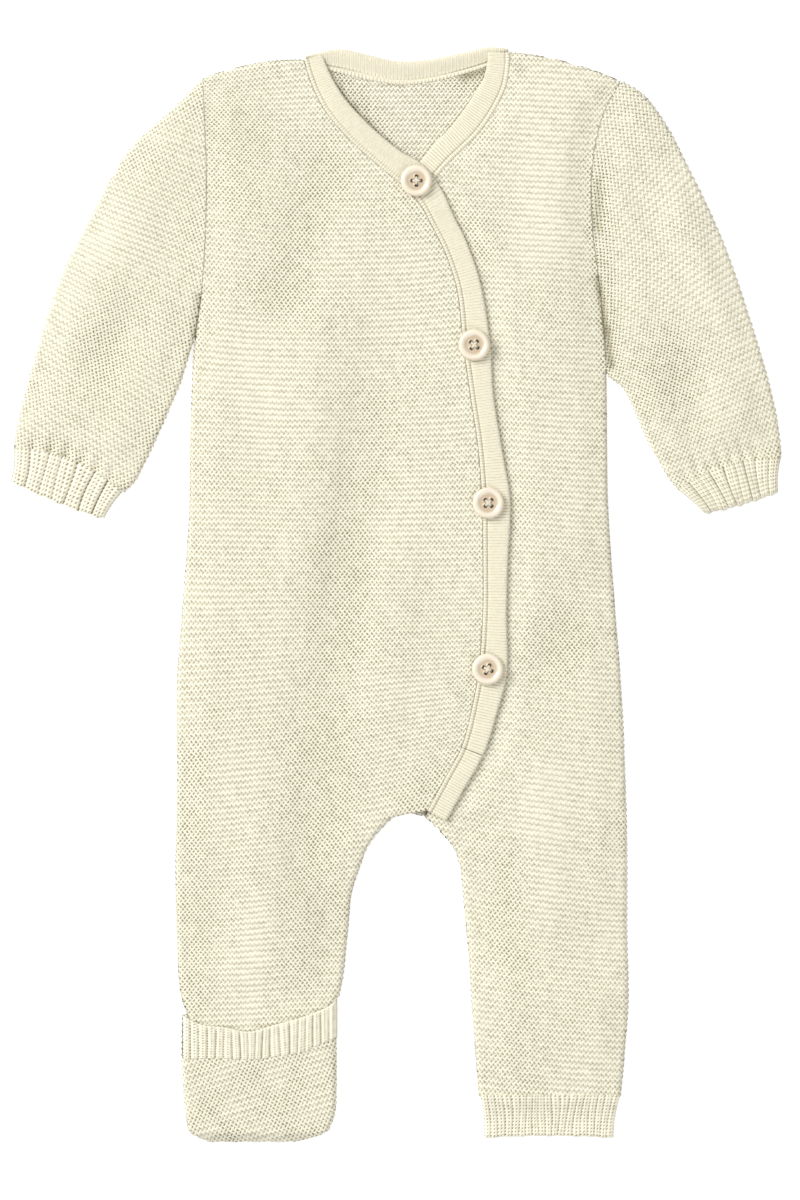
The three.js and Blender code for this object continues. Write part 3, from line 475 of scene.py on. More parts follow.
@dataclass(frozen=True)
class KnitFinish:
    """Look of a knitted surface, read from its stitch coordinates."""

    name: str
    yarn: tuple[float, float, float, float]
    # colour of the painted shade in the gaps and furrows
    hollow_shade: tuple[float, float, float, float]
    depth: float  # how dark the painted shade in the gaps between the stitches gets
    stripe: float  # how dark the painted shade in the furrows between the rows gets
    bump: float  # millimetres of relief that the surface doesn't have itself
    strand: float  # millimetres of relief of the yarn's own strands
    column: float = 0.0  # how far the gaps line up in columns, as in ribs

    def make(self) -> bpy.types.Material:
        """Builds the material.

        Returns:
            The material: painted shade fills the gaps, which lie where cos(2 pi u + slant sin(2 pi v))
            times a row term is lowest, and is darker the further the knitting is open. The row term is
            cos(2 pi v), mixed with 1 by the column share. Painted shade also fills the furrows, which lie
            where sin(2 pi v) is lowest and fade as the knitting opens, and a value above 1 paints the
            shade of a crease.
        """
        s = Shader(self.name)
        uv = s.node("ShaderNodeUVMap", uv_map="stitch")
        u = s.node("ShaderNodeSeparateXYZ", {0: uv}, output=0)
        v = s.node("ShaderNodeSeparateXYZ", {0: uv}, output=1)
        place = s.node("ShaderNodeTexCoord", output="Object")
        stretch_and_shade = s.node("ShaderNodeAttribute", attribute_name="stretch_and_shade", output="Fac")
        wander = s.noise(place, 330.0, 1.0)
        fibre = s.noise(place, 1500.0, 2.0)
        speck = s.noise(place, 1100.0, 1.0)
        slant = (v * math.tau).sin() * SLANT
        row_term = (v * math.tau).cos() * (1.0 - self.column) + self.column
        lattice = (u * math.tau + slant).cos() * row_term
        gap = (-lattice + (wander - 0.5)).ease(0.05, 0.85)
        furrow = (-(v * math.tau).sin() + (wander - 0.5) * 0.6).ease(0.2, 1.0)
        relaxed = 1.0 - stretch_and_shade.ease(0.0, 1.0)
        # Painted shade where the attribute passes 1: in creases, rib furrows and beside the back neckband's
        # groove
        painted_sunk_shade = stretch_and_shade.ease(1.0, 1.6) * 0.5
        # Painted shade in the gaps and furrows, deeper where the knitting is open, then more painted shade
        # in creases and wherever the knitting is open, and a random speckle of the yarn
        shade_and_speck = gap * (stretch_and_shade * 0.7 + 0.3) * self.depth + furrow * relaxed * self.stripe
        shade_and_speck = shade_and_speck + painted_sunk_shade + (stretch_and_shade - 0.4) * 0.16 + (speck - 0.5) * 0.4
        tint = s.colour(shade_and_speck, self.yarn, self.hollow_shade)
        shade = s.noise(place, 28.0, 2.0)
        warm = s.colour((shade - 0.45) * 0.18, tint, WARM)
        strands = ((u * 2.0 + v) * (math.tau * 2.0)).sin()
        height = (lattice * self.bump + strands * self.strand + (fibre - 0.5) * 0.25) * METRE
        normal = s.node("ShaderNodeBump", {"Height": height, "Strength": 1.0, "Distance": 1.0})
        return s.finish(Base_Color=warm, Roughness=0.92, Normal=normal, Specular_IOR_Level=0.2)


@dataclass(frozen=True)
class PlainFinish:
    """Smooth finish with a faint cloudiness."""

    name: str
    first: tuple[float, float, float, float]
    second: tuple[float, float, float, float]
    roughness: float
    coat: float = 0.0

    def make(self) -> bpy.types.Material:
        """Builds the material.

        Returns:
            The material: the first tone on the rim, the second in the dish, mixed by a soft noise.
        """
        s = Shader(self.name)
        place = s.node("ShaderNodeTexCoord", output="Object")
        cloud = s.noise(place, 160.0, 2.0)
        uv = s.node("ShaderNodeUVMap", uv_map="stitch")
        radius = s.node("ShaderNodeSeparateXYZ", {0: uv}, output=0)
        dish = (-radius).ease(-0.72, -0.52)  # 1 inside 0.52 of the radius, 0 outside 0.72
        tint = s.colour(dish * 0.8 + cloud * 0.25, self.first, self.second)
        return s.finish(Base_Color=tint, Roughness=self.roughness, Coat_Weight=self.coat)


YARN = (0.91, 0.87, 0.71, 1.0)
# Colour of the painted shade in the gaps and furrows of the knitting
HOLLOW_SHADE = (0.25, 0.22, 0.12, 1.0)
WARM = (0.86, 0.79, 0.60, 1.0)
GARTER = KnitFinish("garter_knit", YARN, HOLLOW_SHADE, depth=1.15, stripe=0.4, bump=0.12, strand=0.06)
GARTER_PLAIN = KnitFinish("garter_knit_plain", YARN, HOLLOW_SHADE, depth=1.15, stripe=0.4, bump=0.35,
                          strand=0.05)
RIBBED = KnitFinish("rib_knit", YARN, HOLLOW_SHADE, depth=1.3, stripe=0.2, bump=0.0, strand=0.04,
                    column=0.4)
BANDED = KnitFinish("band_knit", (0.83, 0.78, 0.62, 1.0), HOLLOW_SHADE, depth=0.0, stripe=0.65, bump=0.0,
                    strand=0.03)
# The buttons' second, darker tone fills the dish: the button's own tone there, with painted shade of the
# dish on top
NUT = PlainFinish("buttons", (0.84, 0.76, 0.62, 1.0), (0.55, 0.43, 0.29, 1.0), 0.34, 0.4)
# Dark brown on the walls of the buttons' holes: painted shade in the holes
HOLE_SHADE = PlainFinish("button_hole_shade", (0.20, 0.14, 0.09, 1.0), (0.16, 0.11, 0.07, 1.0), 0.8)
THREAD = PlainFinish("thread", (0.85, 0.80, 0.66, 1.0), (0.80, 0.74, 0.60, 1.0), 0.9)


# Meshes


def add_object(name: str, data: bpy.types.ID) -> bpy.types.Object:
    """Adds an object with the given data to the scene."""
    made = bpy.data.objects.new(name, data)
    bpy.context.scene.collection.objects.link(made)
    return made


@dataclass
class Skin:
    """Points, triangles, stitch coordinates and stretch of a piece, gathered part by part."""

    points: list = field(default_factory=list)
    faces: list = field(default_factory=list)
    stitches: list = field(default_factory=list)
    stretch_and_shade: list = field(default_factory=list)
    paint: list = field(default_factory=list)
    count: int = 0

    def add(self, points: np.ndarray, faces: np.ndarray, stitches: np.ndarray, stretch_and_shade: np.ndarray,
            paint: np.ndarray | int = 0) -> None:
        """Adds a part.

        Args:
            points: n by 3, millimetres.
            faces: m by 3 indexes into the points, seen anticlockwise from outside.
            stitches: n by 2, wales and ridges.
            stretch_and_shade: n values from 0, relaxed, to 1, pulled open, and above 1 in a crease.
            paint: material index of each face, or of all.
        """
        self.points.append(points)
        self.faces.append(np.asarray(faces, np.int64) + self.count)
        self.stitches.append(stitches)
        self.stretch_and_shade.append(np.broadcast_to(stretch_and_shade, (len(points),)))
        self.paint.append(np.broadcast_to(paint, (len(faces),)))
        self.count += len(points)

    def make(self, name: str, materials: list, slot: Slot) -> bpy.types.Object:
        """Makes the mesh object, welds its points and puts it in place of its CAD node.

        Args:
            name: name of the CAD node that it stands for.
            materials: materials by paint index.
            slot: slot of the record; not used.

        Returns:
            The object.
        """
        points = np.concatenate(self.points)
        faces = np.concatenate(self.faces)
        paint = np.concatenate(self.paint)
        keys = np.round(points * WELD).astype(np.int64)
        _, first, back = np.unique(keys, axis=0, return_index=True, return_inverse=True)
        faces = back.reshape(-1)[faces]
        stitches = np.concatenate(self.stitches)[first]
        stretch_and_shade = np.concatenate(self.stretch_and_shade)[first]
        points = points[first]
        a, b, c = faces.T
        solid = (a != b) & (b != c) & (c != a)
        faces, paint = faces[solid], paint[solid]
        used, packed = np.unique(faces, return_inverse=True)
        faces = packed.reshape(-1, 3)
        points, stitches, stretch_and_shade = points[used], stitches[used], stretch_and_shade[used]
        mesh = bpy.data.meshes.new(f"{name}_shown")
        mesh.vertices.add(len(points))
        mesh.vertices.foreach_set("co", (points * METRE).astype(np.float32).ravel())
        mesh.loops.add(faces.size)
        mesh.loops.foreach_set("vertex_index", faces.astype(np.int32).ravel())
        mesh.polygons.add(len(faces))
        mesh.polygons.foreach_set("loop_start", np.arange(0, faces.size, 3, dtype=np.int32))
        mesh.polygons.foreach_set("material_index", paint.astype(np.int32))
        mesh.polygons.foreach_set("use_smooth", np.ones(len(faces), bool))
        layer = mesh.uv_layers.new(name="stitch")
        layer.data.foreach_set("uv", stitches[faces.ravel()].astype(np.float32).ravel())
        # Openness of the knitting, which also sets painted shade in the gaps, creases, furrows and behind
        # the neck bands
        attribute = mesh.attributes.new("stretch_and_shade", "FLOAT", "POINT")
        attribute.data.foreach_set("value", stretch_and_shade.astype(np.float32))
        mesh.update(calc_edges=True)
        mesh.validate()
        for material in materials:
            mesh.materials.append(material)
        made = add_object(f"{name}_shown", mesh)
        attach(made, "root")
        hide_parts(name)
        log.info("%s: %d triangles", name, len(faces))
        return made


def grid_faces(rows: int, columns: int, ring: bool = False) -> np.ndarray:
    """Triangles of a grid of points in row order.

    Args:
        rows: number of rows.
        columns: number of columns.
        ring: True if the last column joins the first.

    Returns:
        m by 3 indexes, anticlockwise seen with the columns to the right and the rows going up.
    """
    i, j = np.meshgrid(np.arange(rows - 1), np.arange(columns if ring else columns - 1), indexing="ij")
    i, j = i.ravel(), j.ravel()
    k = (j + 1) % columns
    a, b, c, d = i * columns + j, i * columns + k, (i + 1) * columns + k, (i + 1) * columns + j
    return np.concatenate([np.stack([a, b, c], 1), np.stack([a, c, d], 1)])


def wall_faces(a: np.ndarray, b: np.ndarray, below: int) -> np.ndarray:
    """Triangles of walls under the edges from a to b; below is added for the lower points' indexes."""
    return np.concatenate([np.stack([a, b + below, b], 1), np.stack([a, a + below, b + below], 1)])


def facing(points: np.ndarray, faces: np.ndarray) -> np.ndarray:
    """Twice the area of each triangle seen from above, positive where it runs anticlockwise."""
    p = points[faces]
    d1, d2 = p[:, 1] - p[:, 0], p[:, 2] - p[:, 0]
    return d1[:, 0] * d2[:, 1] - d1[:, 1] * d2[:, 0]


@dataclass
class Outline:
    """Closed outline of a sheet, with the share by which each point lies at a fold, not at a seam."""

    points: np.ndarray
    fold: np.ndarray

    @staticmethod
    def of(*runs: tuple[np.ndarray, float]) -> "Outline":
        """Joins runs of points.

        Args:
            *runs: points of each run, and its share of fold.

        Returns:
            The closed outline.
        """
        points = np.concatenate([run for run, _ in runs])
        fold = np.concatenate([np.full(len(run), share) for run, share in runs])
        return Outline(points, fold)

    def nearest(self, places: np.ndarray) -> tuple[np.ndarray, np.ndarray, np.ndarray]:
        """Nearest point of the outline to each place.

        Args:
            places: n by 2.

        Returns:
            Signed distance, positive inside; the nearest point; its share of fold.
        """
        a, b = self.points, np.roll(self.points, -1, axis=0)
        fa, fb = self.fold, np.roll(self.fold, -1)
        d = b - a
        length2 = np.maximum((d ** 2).sum(1), 1e-12)
        distance, near, fold = [], [], []
        for part in np.array_split(places, max(1, len(places) // 4000)):
            rel = part[:, None, :] - a[None]
            t = np.clip((rel * d).sum(2) / length2, 0.0, 1.0)
            away = rel - t[..., None] * d
            far = (away ** 2).sum(2)
            best = far.argmin(1)
            rows = np.arange(len(part))
            share = t[rows, best]
            crosses = (a[None, :, 1] > part[:, 1:2]) != (b[None, :, 1] > part[:, 1:2])
            with np.errstate(divide="ignore", invalid="ignore"):
                at = a[None, :, 0] + (part[:, 1:2] - a[None, :, 1]) / d[None, :, 1] * d[None, :, 0]
            inside = (crosses & (part[:, 0:1] < at)).sum(1) % 2 == 1
            distance.append(np.where(inside, 1, -1) * np.sqrt(far[rows, best]))
            near.append(a[best] + share[:, None] * d[best])
            fold.append(fa[best] * (1 - share) + fb[best] * share)
        return np.concatenate(distance), np.concatenate(near), np.concatenate(fold)

    def area(self) -> float:
        """Area inside, in square metres."""
        x, y = self.points.T
        return abs(np.dot(x, np.roll(y, -1)) - np.dot(y, np.roll(x, -1))) / 2 * METRE ** 2


@dataclass
class Plan:
    """Stitch lattice cut to an outline, seen from above."""

    points: np.ndarray
    stitches: np.ndarray
    distance: np.ndarray
    fold: np.ndarray
    faces: np.ndarray
    rim: np.ndarray
    coarse: np.ndarray


def lay_stitches(outline: Outline, warp: Callable, wales: tuple[int, int], ridges: tuple[int, int],
                 fine: bool = True) -> Plan:
    """Cuts a lattice of stitches to an outline.

    Each stitch has two points across and each ridge four points up. Points outside the outline
    move to the nearest point on it; cells with a corner inside are kept.

    Args:
        outline: where the sheet ends.
        warp: places of stitch coordinates.
        wales: lowest and highest wale.
        ridges: lowest and highest ridge.
        fine: False for a lattice of half that number of points up.

    Returns:
        The plan.
    """
    step = 0.25 if fine else 0.5
    u, v = np.meshgrid(np.arange(wales[0], wales[1], 0.5), np.arange(ridges[0], ridges[1], step))
    shape = u.shape
    x, y = warp(u.ravel(), v.ravel())
    points = np.stack([x, y], 1)
    margin = 8  # further out than that no cell touches the outline
    low, high = outline.points.min(0) - margin, outline.points.max(0) + margin
    near_box = ((points > low) & (points < high)).all(1)
    distance = np.full(len(points), -99.0)
    near = points.copy()
    fold = np.zeros(len(points))
    distance[near_box], near[near_box], fold[near_box] = outline.nearest(points[near_box])
    inside = distance > 0.25  # nearer points would leave slivers, so they move to the rim too
    outward = (points - near) * np.where(distance < 0, 1, -1)[:, None]
    outward /= np.maximum(np.hypot(*outward.T), 1e-6)[:, None]
    near = near + outward * (SCALLOP * fold * np.cos(math.tau * v.ravel()))[:, None]
    rows, columns = shape
    i, j = np.meshgrid(np.arange(rows - 1), np.arange(columns - 1), indexing="ij")
    corner = (i * columns + j).ravel()
    cells = np.stack([corner, corner + 1, corner + columns + 1, corner + columns], 1)
    cells = cells[inside[cells].any(1)]
    points = np.where(inside[:, None], points, near)
    distance = np.where(inside, distance, 0.0)
    parity = (cells[:, :1] % columns + cells[:, :1] // columns) % 2 == 0
    split = np.where(parity, cells, np.roll(cells, 1, axis=1))
    faces = np.concatenate([split[:, [0, 1, 2]], split[:, [0, 2, 3]]])
    keys = np.round(points * RIM_WELD).astype(np.int64)
    used = np.unique(faces)
    _, first, back = np.unique(keys[used], axis=0, return_index=True, return_inverse=True)
    to = np.zeros(len(points), np.int64)
    to[used] = back.reshape(-1)
    keep = used[first]
    faces = to[faces]
    a, b, c = faces.T
    faces = faces[(a != b) & (b != c) & (c != a)]
    points, distance, fold = points[keep], distance[keep], fold[keep]
    stitches = np.stack([u.ravel()[keep], v.ravel()[keep]], 1)
    if facing(points, faces).sum() < 0:
        faces = faces[:, ::-1]
    edges = np.concatenate([faces[:, [0, 1]], faces[:, [1, 2]], faces[:, [2, 0]]])
    named = edges.min(1) * len(points) + edges.max(1)
    order, counts = np.unique(named, return_counts=True)
    single = np.isin(named, order[counts == 1])
    rim = edges[single]
    # The inner face keeps every third wale of every second ridge, and a row of points beside the rim
    whole = (np.mod(stitches[:, 0], 3) == 0) & (np.mod(stitches[:, 1], 2) == 0)
    beside = (distance > 1.1) & (distance < 2.4) & (np.mod(stitches[:, 0] * 2 + stitches[:, 1] * 4, 2) == 0)
    coarse = np.flatnonzero(whole & (distance > ROUND_OVER) | beside)
    return Plan(points, stitches, distance, fold, faces, rim, coarse)


@dataclass(frozen=True)
class Stitch:
    """Relief of garter stitch: raised ridges, and bumps that alternate from wale to wale."""

    ridge: float = 0.22
    bump: float = 0.44

    def height(self, plan: Plan, stretch_and_shade: np.ndarray) -> np.ndarray:
        """Height over the mean surface.

        Args:
            plan: stitch lattice.
            stretch_and_shade: 0 relaxed to 1 pulled open, which flattens the ridges.

        Returns:
            ridge sin(2 pi v) + bump cos(2 pi u + slant sin(2 pi v)) cos(2 pi v), unevenly, fading
            out at the rim.
        """
        u, v = plan.stitches.T * math.tau
        stretch_and_shade = np.minimum(stretch_and_shade, 1.0)
        uneven = 1 + 0.3 * ripple(*plan.points.T, 3, 11.0)
        lattice = np.cos(u + SLANT * np.sin(v)) * np.cos(v)
        swell = self.ridge * (1 - 0.75 * stretch_and_shade) * np.sin(v) + self.bump * uneven * lattice
        return swell * smooth(plan.distance / 1.5)


def opened(x: np.ndarray, y: np.ndarray, seed: int) -> np.ndarray:
    """How far the knitting is pulled open, 0 to 1 and more in a crease, over a faint unevenness; the
    openings also carry painted shade along folds, and the part above 1 paints a crease's shade.
    """
    usual = np.clip(0.40 + 0.13 * ripple(x, y, seed, 55.0) + bells(OPENINGS, x, y) * 1.2, 0.0, 1.0)
    return usual + 0.45 * bells(CREASES, x, y)


def add_shell(skin: Skin, plan: Plan, outer: np.ndarray, inner: np.ndarray, rim: np.ndarray, up: bool,
              stretch_and_shade: np.ndarray, stitch: Stitch = Stitch()) -> None:
    """Adds a closed thin sheet: its knitted face and its plainer inner face share the rim.

    Near the rim both faces bend to the rim's height, as a quarter of an ellipse.

    Args:
        skin: where it is added.
        plan: stitch lattice.
        outer: height of the knitted face at each point of the plan.
        inner: height of the other face.
        rim: height of the rim.
        up: True if the knitted face is the upper one.
        stretch_and_shade: 0 relaxed to 1 pulled open.
        stitch: relief of the stitches.
    """
    x, y = plan.points.T
    reach = SEAM_TURN + (ROUND_OVER - SEAM_TURN) * plan.fold
    turn = 1 - np.clip(plan.distance / reach, 0.0, 1.0)
    bend = np.sqrt(1 - turn * turn)
    sign = 1.0 if up else -1.0
    crease = bells(CREASES, x, y) * sign
    mean = outer - sign * RELIEF_SINK - crease
    z = rim - crease + (mean - rim + crease) * bend + sign * stitch.height(plan, stretch_and_shade)
    z = z if up else np.maximum(z, 0.0)  # pressed flat where it lies on the floor
    faces = plan.faces if up else plan.faces[:, ::-1]
    total = len(x)
    border = np.unique(plan.rim)
    picked = np.concatenate([border, plan.coarse])
    index = np.full(total, -1)
    index[picked] = np.arange(len(picked))
    # The inner face is a triangulation of the rim and of the kept points within it
    flat = [Vector(p) for p in plan.points[picked]]
    _, _, triangles, origins, _, _ = delaunay_2d_cdt(flat, index[plan.rim].tolist(), [], 1, 1e-6)
    source = np.array([o[0] if o else -1 for o in origins])
    triangles = np.array(triangles, np.int64)
    triangles = triangles[(source[triangles] >= 0).all(1)]
    back = source[triangles]
    inner_points = np.stack([x[plan.coarse], y[plan.coarse], inner[plan.coarse]], 1)
    points = np.concatenate([np.stack([x, y, z], 1), inner_points])
    lookup = np.concatenate([border, total + np.arange(len(plan.coarse))])
    back = lookup[back]
    turned = facing(points, back) > 0
    wrong = turned if up else ~turned
    back = np.where(wrong[:, None], back[:, ::-1], back)
    stitches = np.concatenate([plan.stitches, plan.stitches[plan.coarse]])
    spread = np.concatenate([stretch_and_shade, stretch_and_shade[plan.coarse]])
    paint = np.concatenate([np.zeros(len(faces), int), np.ones(len(back), int)])
    skin.add(points, np.concatenate([faces, back]), stitches, spread, paint)


def body_warp(tilt: np.ndarray, near: float, far: float) -> Callable:
    """Places of the stitches of a body panel: level rows bent by slopes that change across.

    Args:
        tilt: y, slope at near, slope at far.
        near: x of the first slope.
        far: x of the second slope.

    Returns:
        Function of wale and ridge: x = wale, y = ridge + integral of the slope from near.
    """
    def warp(u: np.ndarray, v: np.ndarray) -> tuple[np.ndarray, np.ndarray]:
        """Places of stitch coordinates.

        Args:
            u: wales.
            v: ridges.

        Returns:
            x and y.
        """
        x, level = u * WALE, v * RIDGE_PITCH
        first, second = read(tilt, 1, level), read(tilt, 2, level)
        across = (x - near) / (far - near)
        middle = (near + far) / 2
        share = (middle - near) / (far - near)
        total = (x - middle) * first + (second - first) * (across ** 2 - share ** 2) / 2 * (far - near)
        sway = 0.25 * ripple(x, level, 5, 60.0) + 0.12 * ripple(x, level, 6, 9.0)
        return x + sway, level + total + sway

    return warp


# Pieces


def shoulder_line(start: tuple, end: tuple, share: np.ndarray) -> np.ndarray:
    """Points between two places, raised by bow times share times (1 - share)."""
    x = start[0] + (end[0] - start[0]) * share
    return column(x, start[1] + (end[1] - start[1]) * share + SHOULDER_BOW * share * (1 - share))


def armhole_top(side: str) -> tuple:
    """Where the shoulder line meets the armhole."""
    return side_at(side, SHOULDER_END[side]), SHOULDER_END[side]


def side_runs(side: str) -> list:
    """Outline runs of one side, from the armhole down.

    Args:
        side: right or left.

    Returns:
        The side where the sleeve is sewn on, the fold below it, and the leg end.
    """
    y = np.linspace(SHOULDER_END[side], LEG_END, 230)
    sewn, free = y[y > UNDERARM[side]], y[y <= UNDERARM[side]]
    return [(column(side_at(side, sewn), sewn), 0.0), (column(side_at(side, free), free), 1.0),
            (leg_end(side), 0.0)]


def inseam_run(side: str, count: int) -> tuple[np.ndarray, float]:
    """Outline run along the inner fold of a leg, from its end up to the fork."""
    y = np.linspace(LEG_END, FORK, count)
    return column(inseam_at(side, y), y), 1.0


@dataclass
class Panel:
    """Sheet of garter stitch."""

    name: str
    flat: tuple[float, float]
    seed: int

    def outline(self) -> Outline:
        """Outline of the sheet seen from above."""
        raise NotImplementedError

    def warp(self) -> Callable:
        """Function that places wales and ridges."""
        raise NotImplementedError

    def finish(self, skin: Skin, materials: list, area: float) -> bpy.types.Object:
        """Makes the object.

        Args:
            skin: its surface.
            materials: knitted and plain material.
            area: area of the cut in square metres; not used.

        Returns:
            The object.
        """
        made = skin.make(self.name, materials, Slot.GARTER)
        return made


@dataclass
class Front(Panel):
    """Front with its leg, laid over soft air."""

    wales: tuple[int, int]
    ridges: tuple[int, int]

    @staticmethod
    def shoulder(side: str, neck_x: Numbers) -> np.ndarray:
        """Shoulder line from the neck to the armhole, without its ends."""
        return shoulder_line((neck_x, NECK_TOP[side]), armhole_top(side), np.linspace(0, 1, 26)[1:-1])

    def under(self, x: np.ndarray, y: np.ndarray) -> np.ndarray:
        """Height of the sheet's underside."""
        raise NotImplementedError

    def build(self, materials: list) -> bpy.types.Object:
        """Makes the piece.

        Args:
            materials: knitted and plain material.

        Returns:
            The object.
        """
        outline = self.outline()
        plan = lay_stitches(outline, self.warp(), self.wales, self.ridges)
        x, y = plan.points.T
        under = self.under(x, y)
        rim = under + (KNIT - SEAM_DIP) * (1 - plan.fold) - RIM_DROP * plan.fold
        skin = Skin()
        add_shell(skin, plan, under + KNIT, under, rim, True, opened(x, y, self.seed))
        return self.finish(skin, materials, outline.area())


@dataclass
class RightFront(Front):
    """Front that carries the long band, with the right leg."""

    def outline(self) -> Outline:
        """Side, leg, the edge under the band, shoulder."""
        edge = np.linspace(RIGHT_CROTCH_ROW, NECK_TOP["right"], 190)
        shoulder = self.shoulder("right", placket_at(NECK_TOP["right"]) - TOUCH)
        return Outline.of(*side_runs("right"), inseam_run("right", 70),
                          (column(placket_at(edge) - TOUCH, edge), 0.0), (shoulder, 1.0))

    def warp(self) -> Callable:
        """Rows that bend from the side to the band."""
        return body_warp(RIGHT_TILT, -95.0, 25.0)

    def under(self, x: np.ndarray, y: np.ndarray) -> np.ndarray:
        """Height of the sheet's underside: soft air over the back, and the seat of the band.

        The air eases in over 18 mm from the side and 26 mm from the shoulder, and out over 24 mm
        down to the foot cover. Within 30 mm of the inner edge it eases to the height of that edge.

        Args:
            x: places.
            y: places.

        Returns:
            The height at each place.
        """
        bodice = y > RIGHT_CROTCH_ROW - 1
        inner = np.where(bodice, placket_at(y), inseam_at("right", y))
        air = (air_under(x, y) * smooth((x - side_at("right", y)) / 18)
               * smooth((301 - y) / 26) * smooth((y + 232) / 24))
        near = 1 - smooth((inner - x - 6) / 24)
        at_edge = np.where(bodice, band_rise(y), LAYER * smooth((y + 190) / 60))
        return lift(x, y) + LAYER + air + (at_edge - air) * near


@dataclass
class LeftFront(Front):
    """Front with the button stand, with the left leg."""

    def outline(self) -> Outline:
        """Side, leg, the edge of the stand, neck, shoulder."""
        stand = np.linspace(LEFT_CROTCH_ROW, STAND_START - 9, 150)
        neck = np.linspace(STAND_START, NECK_TOP["left"], 40)
        shoulder = self.shoulder("left", read(LEFT_NECK, 1, NECK_TOP["left"]) + TOUCH)
        return Outline.of(*side_runs("left"), inseam_run("left", 70),
                          (column(placket_at(stand) + STAND_INSET, stand), 0.0),
                          (column(read(LEFT_NECK, 1, neck) + TOUCH, neck), 0.0), (shoulder, 1.0))

    def warp(self) -> Callable:
        """Rows that bend from the band to the side."""
        return body_warp(LEFT_TILT, 60.0, 125.0)

    def under(self, x: np.ndarray, y: np.ndarray) -> np.ndarray:
        """Height of the sheet's underside: flat under the band, with soft air beyond it.

        The air eases in over 13 mm from the band and 26 mm from the leg's inner fold, and over 18 mm
        from the side and 26 mm from the shoulder. A quarter of it is left at the leg's end.

        Args:
            x: places.
            y: places.

        Returns:
            The height at each place.
        """
        bodice = y > LEFT_CROTCH_ROW - 1
        edge = np.where(y >= STAND_START, read(LEFT_NECK, 1, y) + SEAM, placket_at(y) + STAND_INSET)
        inner = np.where(bodice, edge + 16.5 * smooth((246 - y) / 14),
                         inseam_at("left", y) + 19 * smooth((y + 143) / 14))
        air = (air_under(x, y) * smooth((x - inner) / np.where(bodice, 13.0, 26.0))
               * smooth((side_at("left", y) - x) / 18) * smooth((303 - y) / 26)
               * (0.25 + 0.75 * smooth((y + 283) / 30)))
        return lift(x, y) + LAYER + air


@dataclass
class Back(Panel):
    """Back with both leg backs; its knitted face lies on the floor."""

    def outline(self) -> Outline:
        """Right side and leg, crotch, left leg and side, shoulders and neck."""
        share = np.linspace(0, 1, 20)
        neck = np.linspace(BACK_NECK[-1, 0], BACK_NECK[0, 0], 60)
        left = [(points[::-1], fold) for points, fold in reversed(side_runs("left"))]
        rise = shoulder_line(armhole_top("left"), BACK_NECK[-1], share[1:])
        fall = shoulder_line(armhole_top("right"), BACK_NECK[0], share[::-1][:-1])
        return Outline.of(*side_runs("right"), inseam_run("right", 60), (np.array([CROTCH]), 1.0),
                          (inseam_run("left", 60)[0][::-1], 1.0), *left, (rise, 1.0),
                          (column(neck, read(BACK_NECK, 1, neck) - TOUCH), 0.0), (fall, 1.0))

    def warp(self) -> Callable:
        """Level rows."""
        level = np.array([(320.0, 0.0, 0.0), (-300.0, 0.0, 0.0)])
        return body_warp(level, -100.0, 100.0)

    def build(self, materials: list) -> bpy.types.Object:
        """Makes the piece.

        Args:
            materials: knitted and plain material.

        Returns:
            The object.
        """
        outline = self.outline()
        plan = lay_stitches(outline, self.warp(), (-54, 56), (-92, 98), fine=False)
        x, y = plan.points.T
        base = lift(x, y)
        rim = base + SEAM_DIP + (KNIT + 0.05 - SEAM_DIP) * plan.fold
        at_neck = (y > 283) & (x > -66) & (x < 78)  # where the rim joins the neck band
        rim = np.where(at_neck, KNIT - SEAM_DIP * (1 - plan.fold), rim)
        skin = Skin()
        # Painted shade behind the neck bands, added over the openness
        stretch_and_shade = opened(x, y, self.seed) + bells(NECK_SHADE, x, y)
        add_shell(skin, plan, base, base + KNIT, rim, False, stretch_and_shade)
        return self.finish(skin, materials, outline.area())


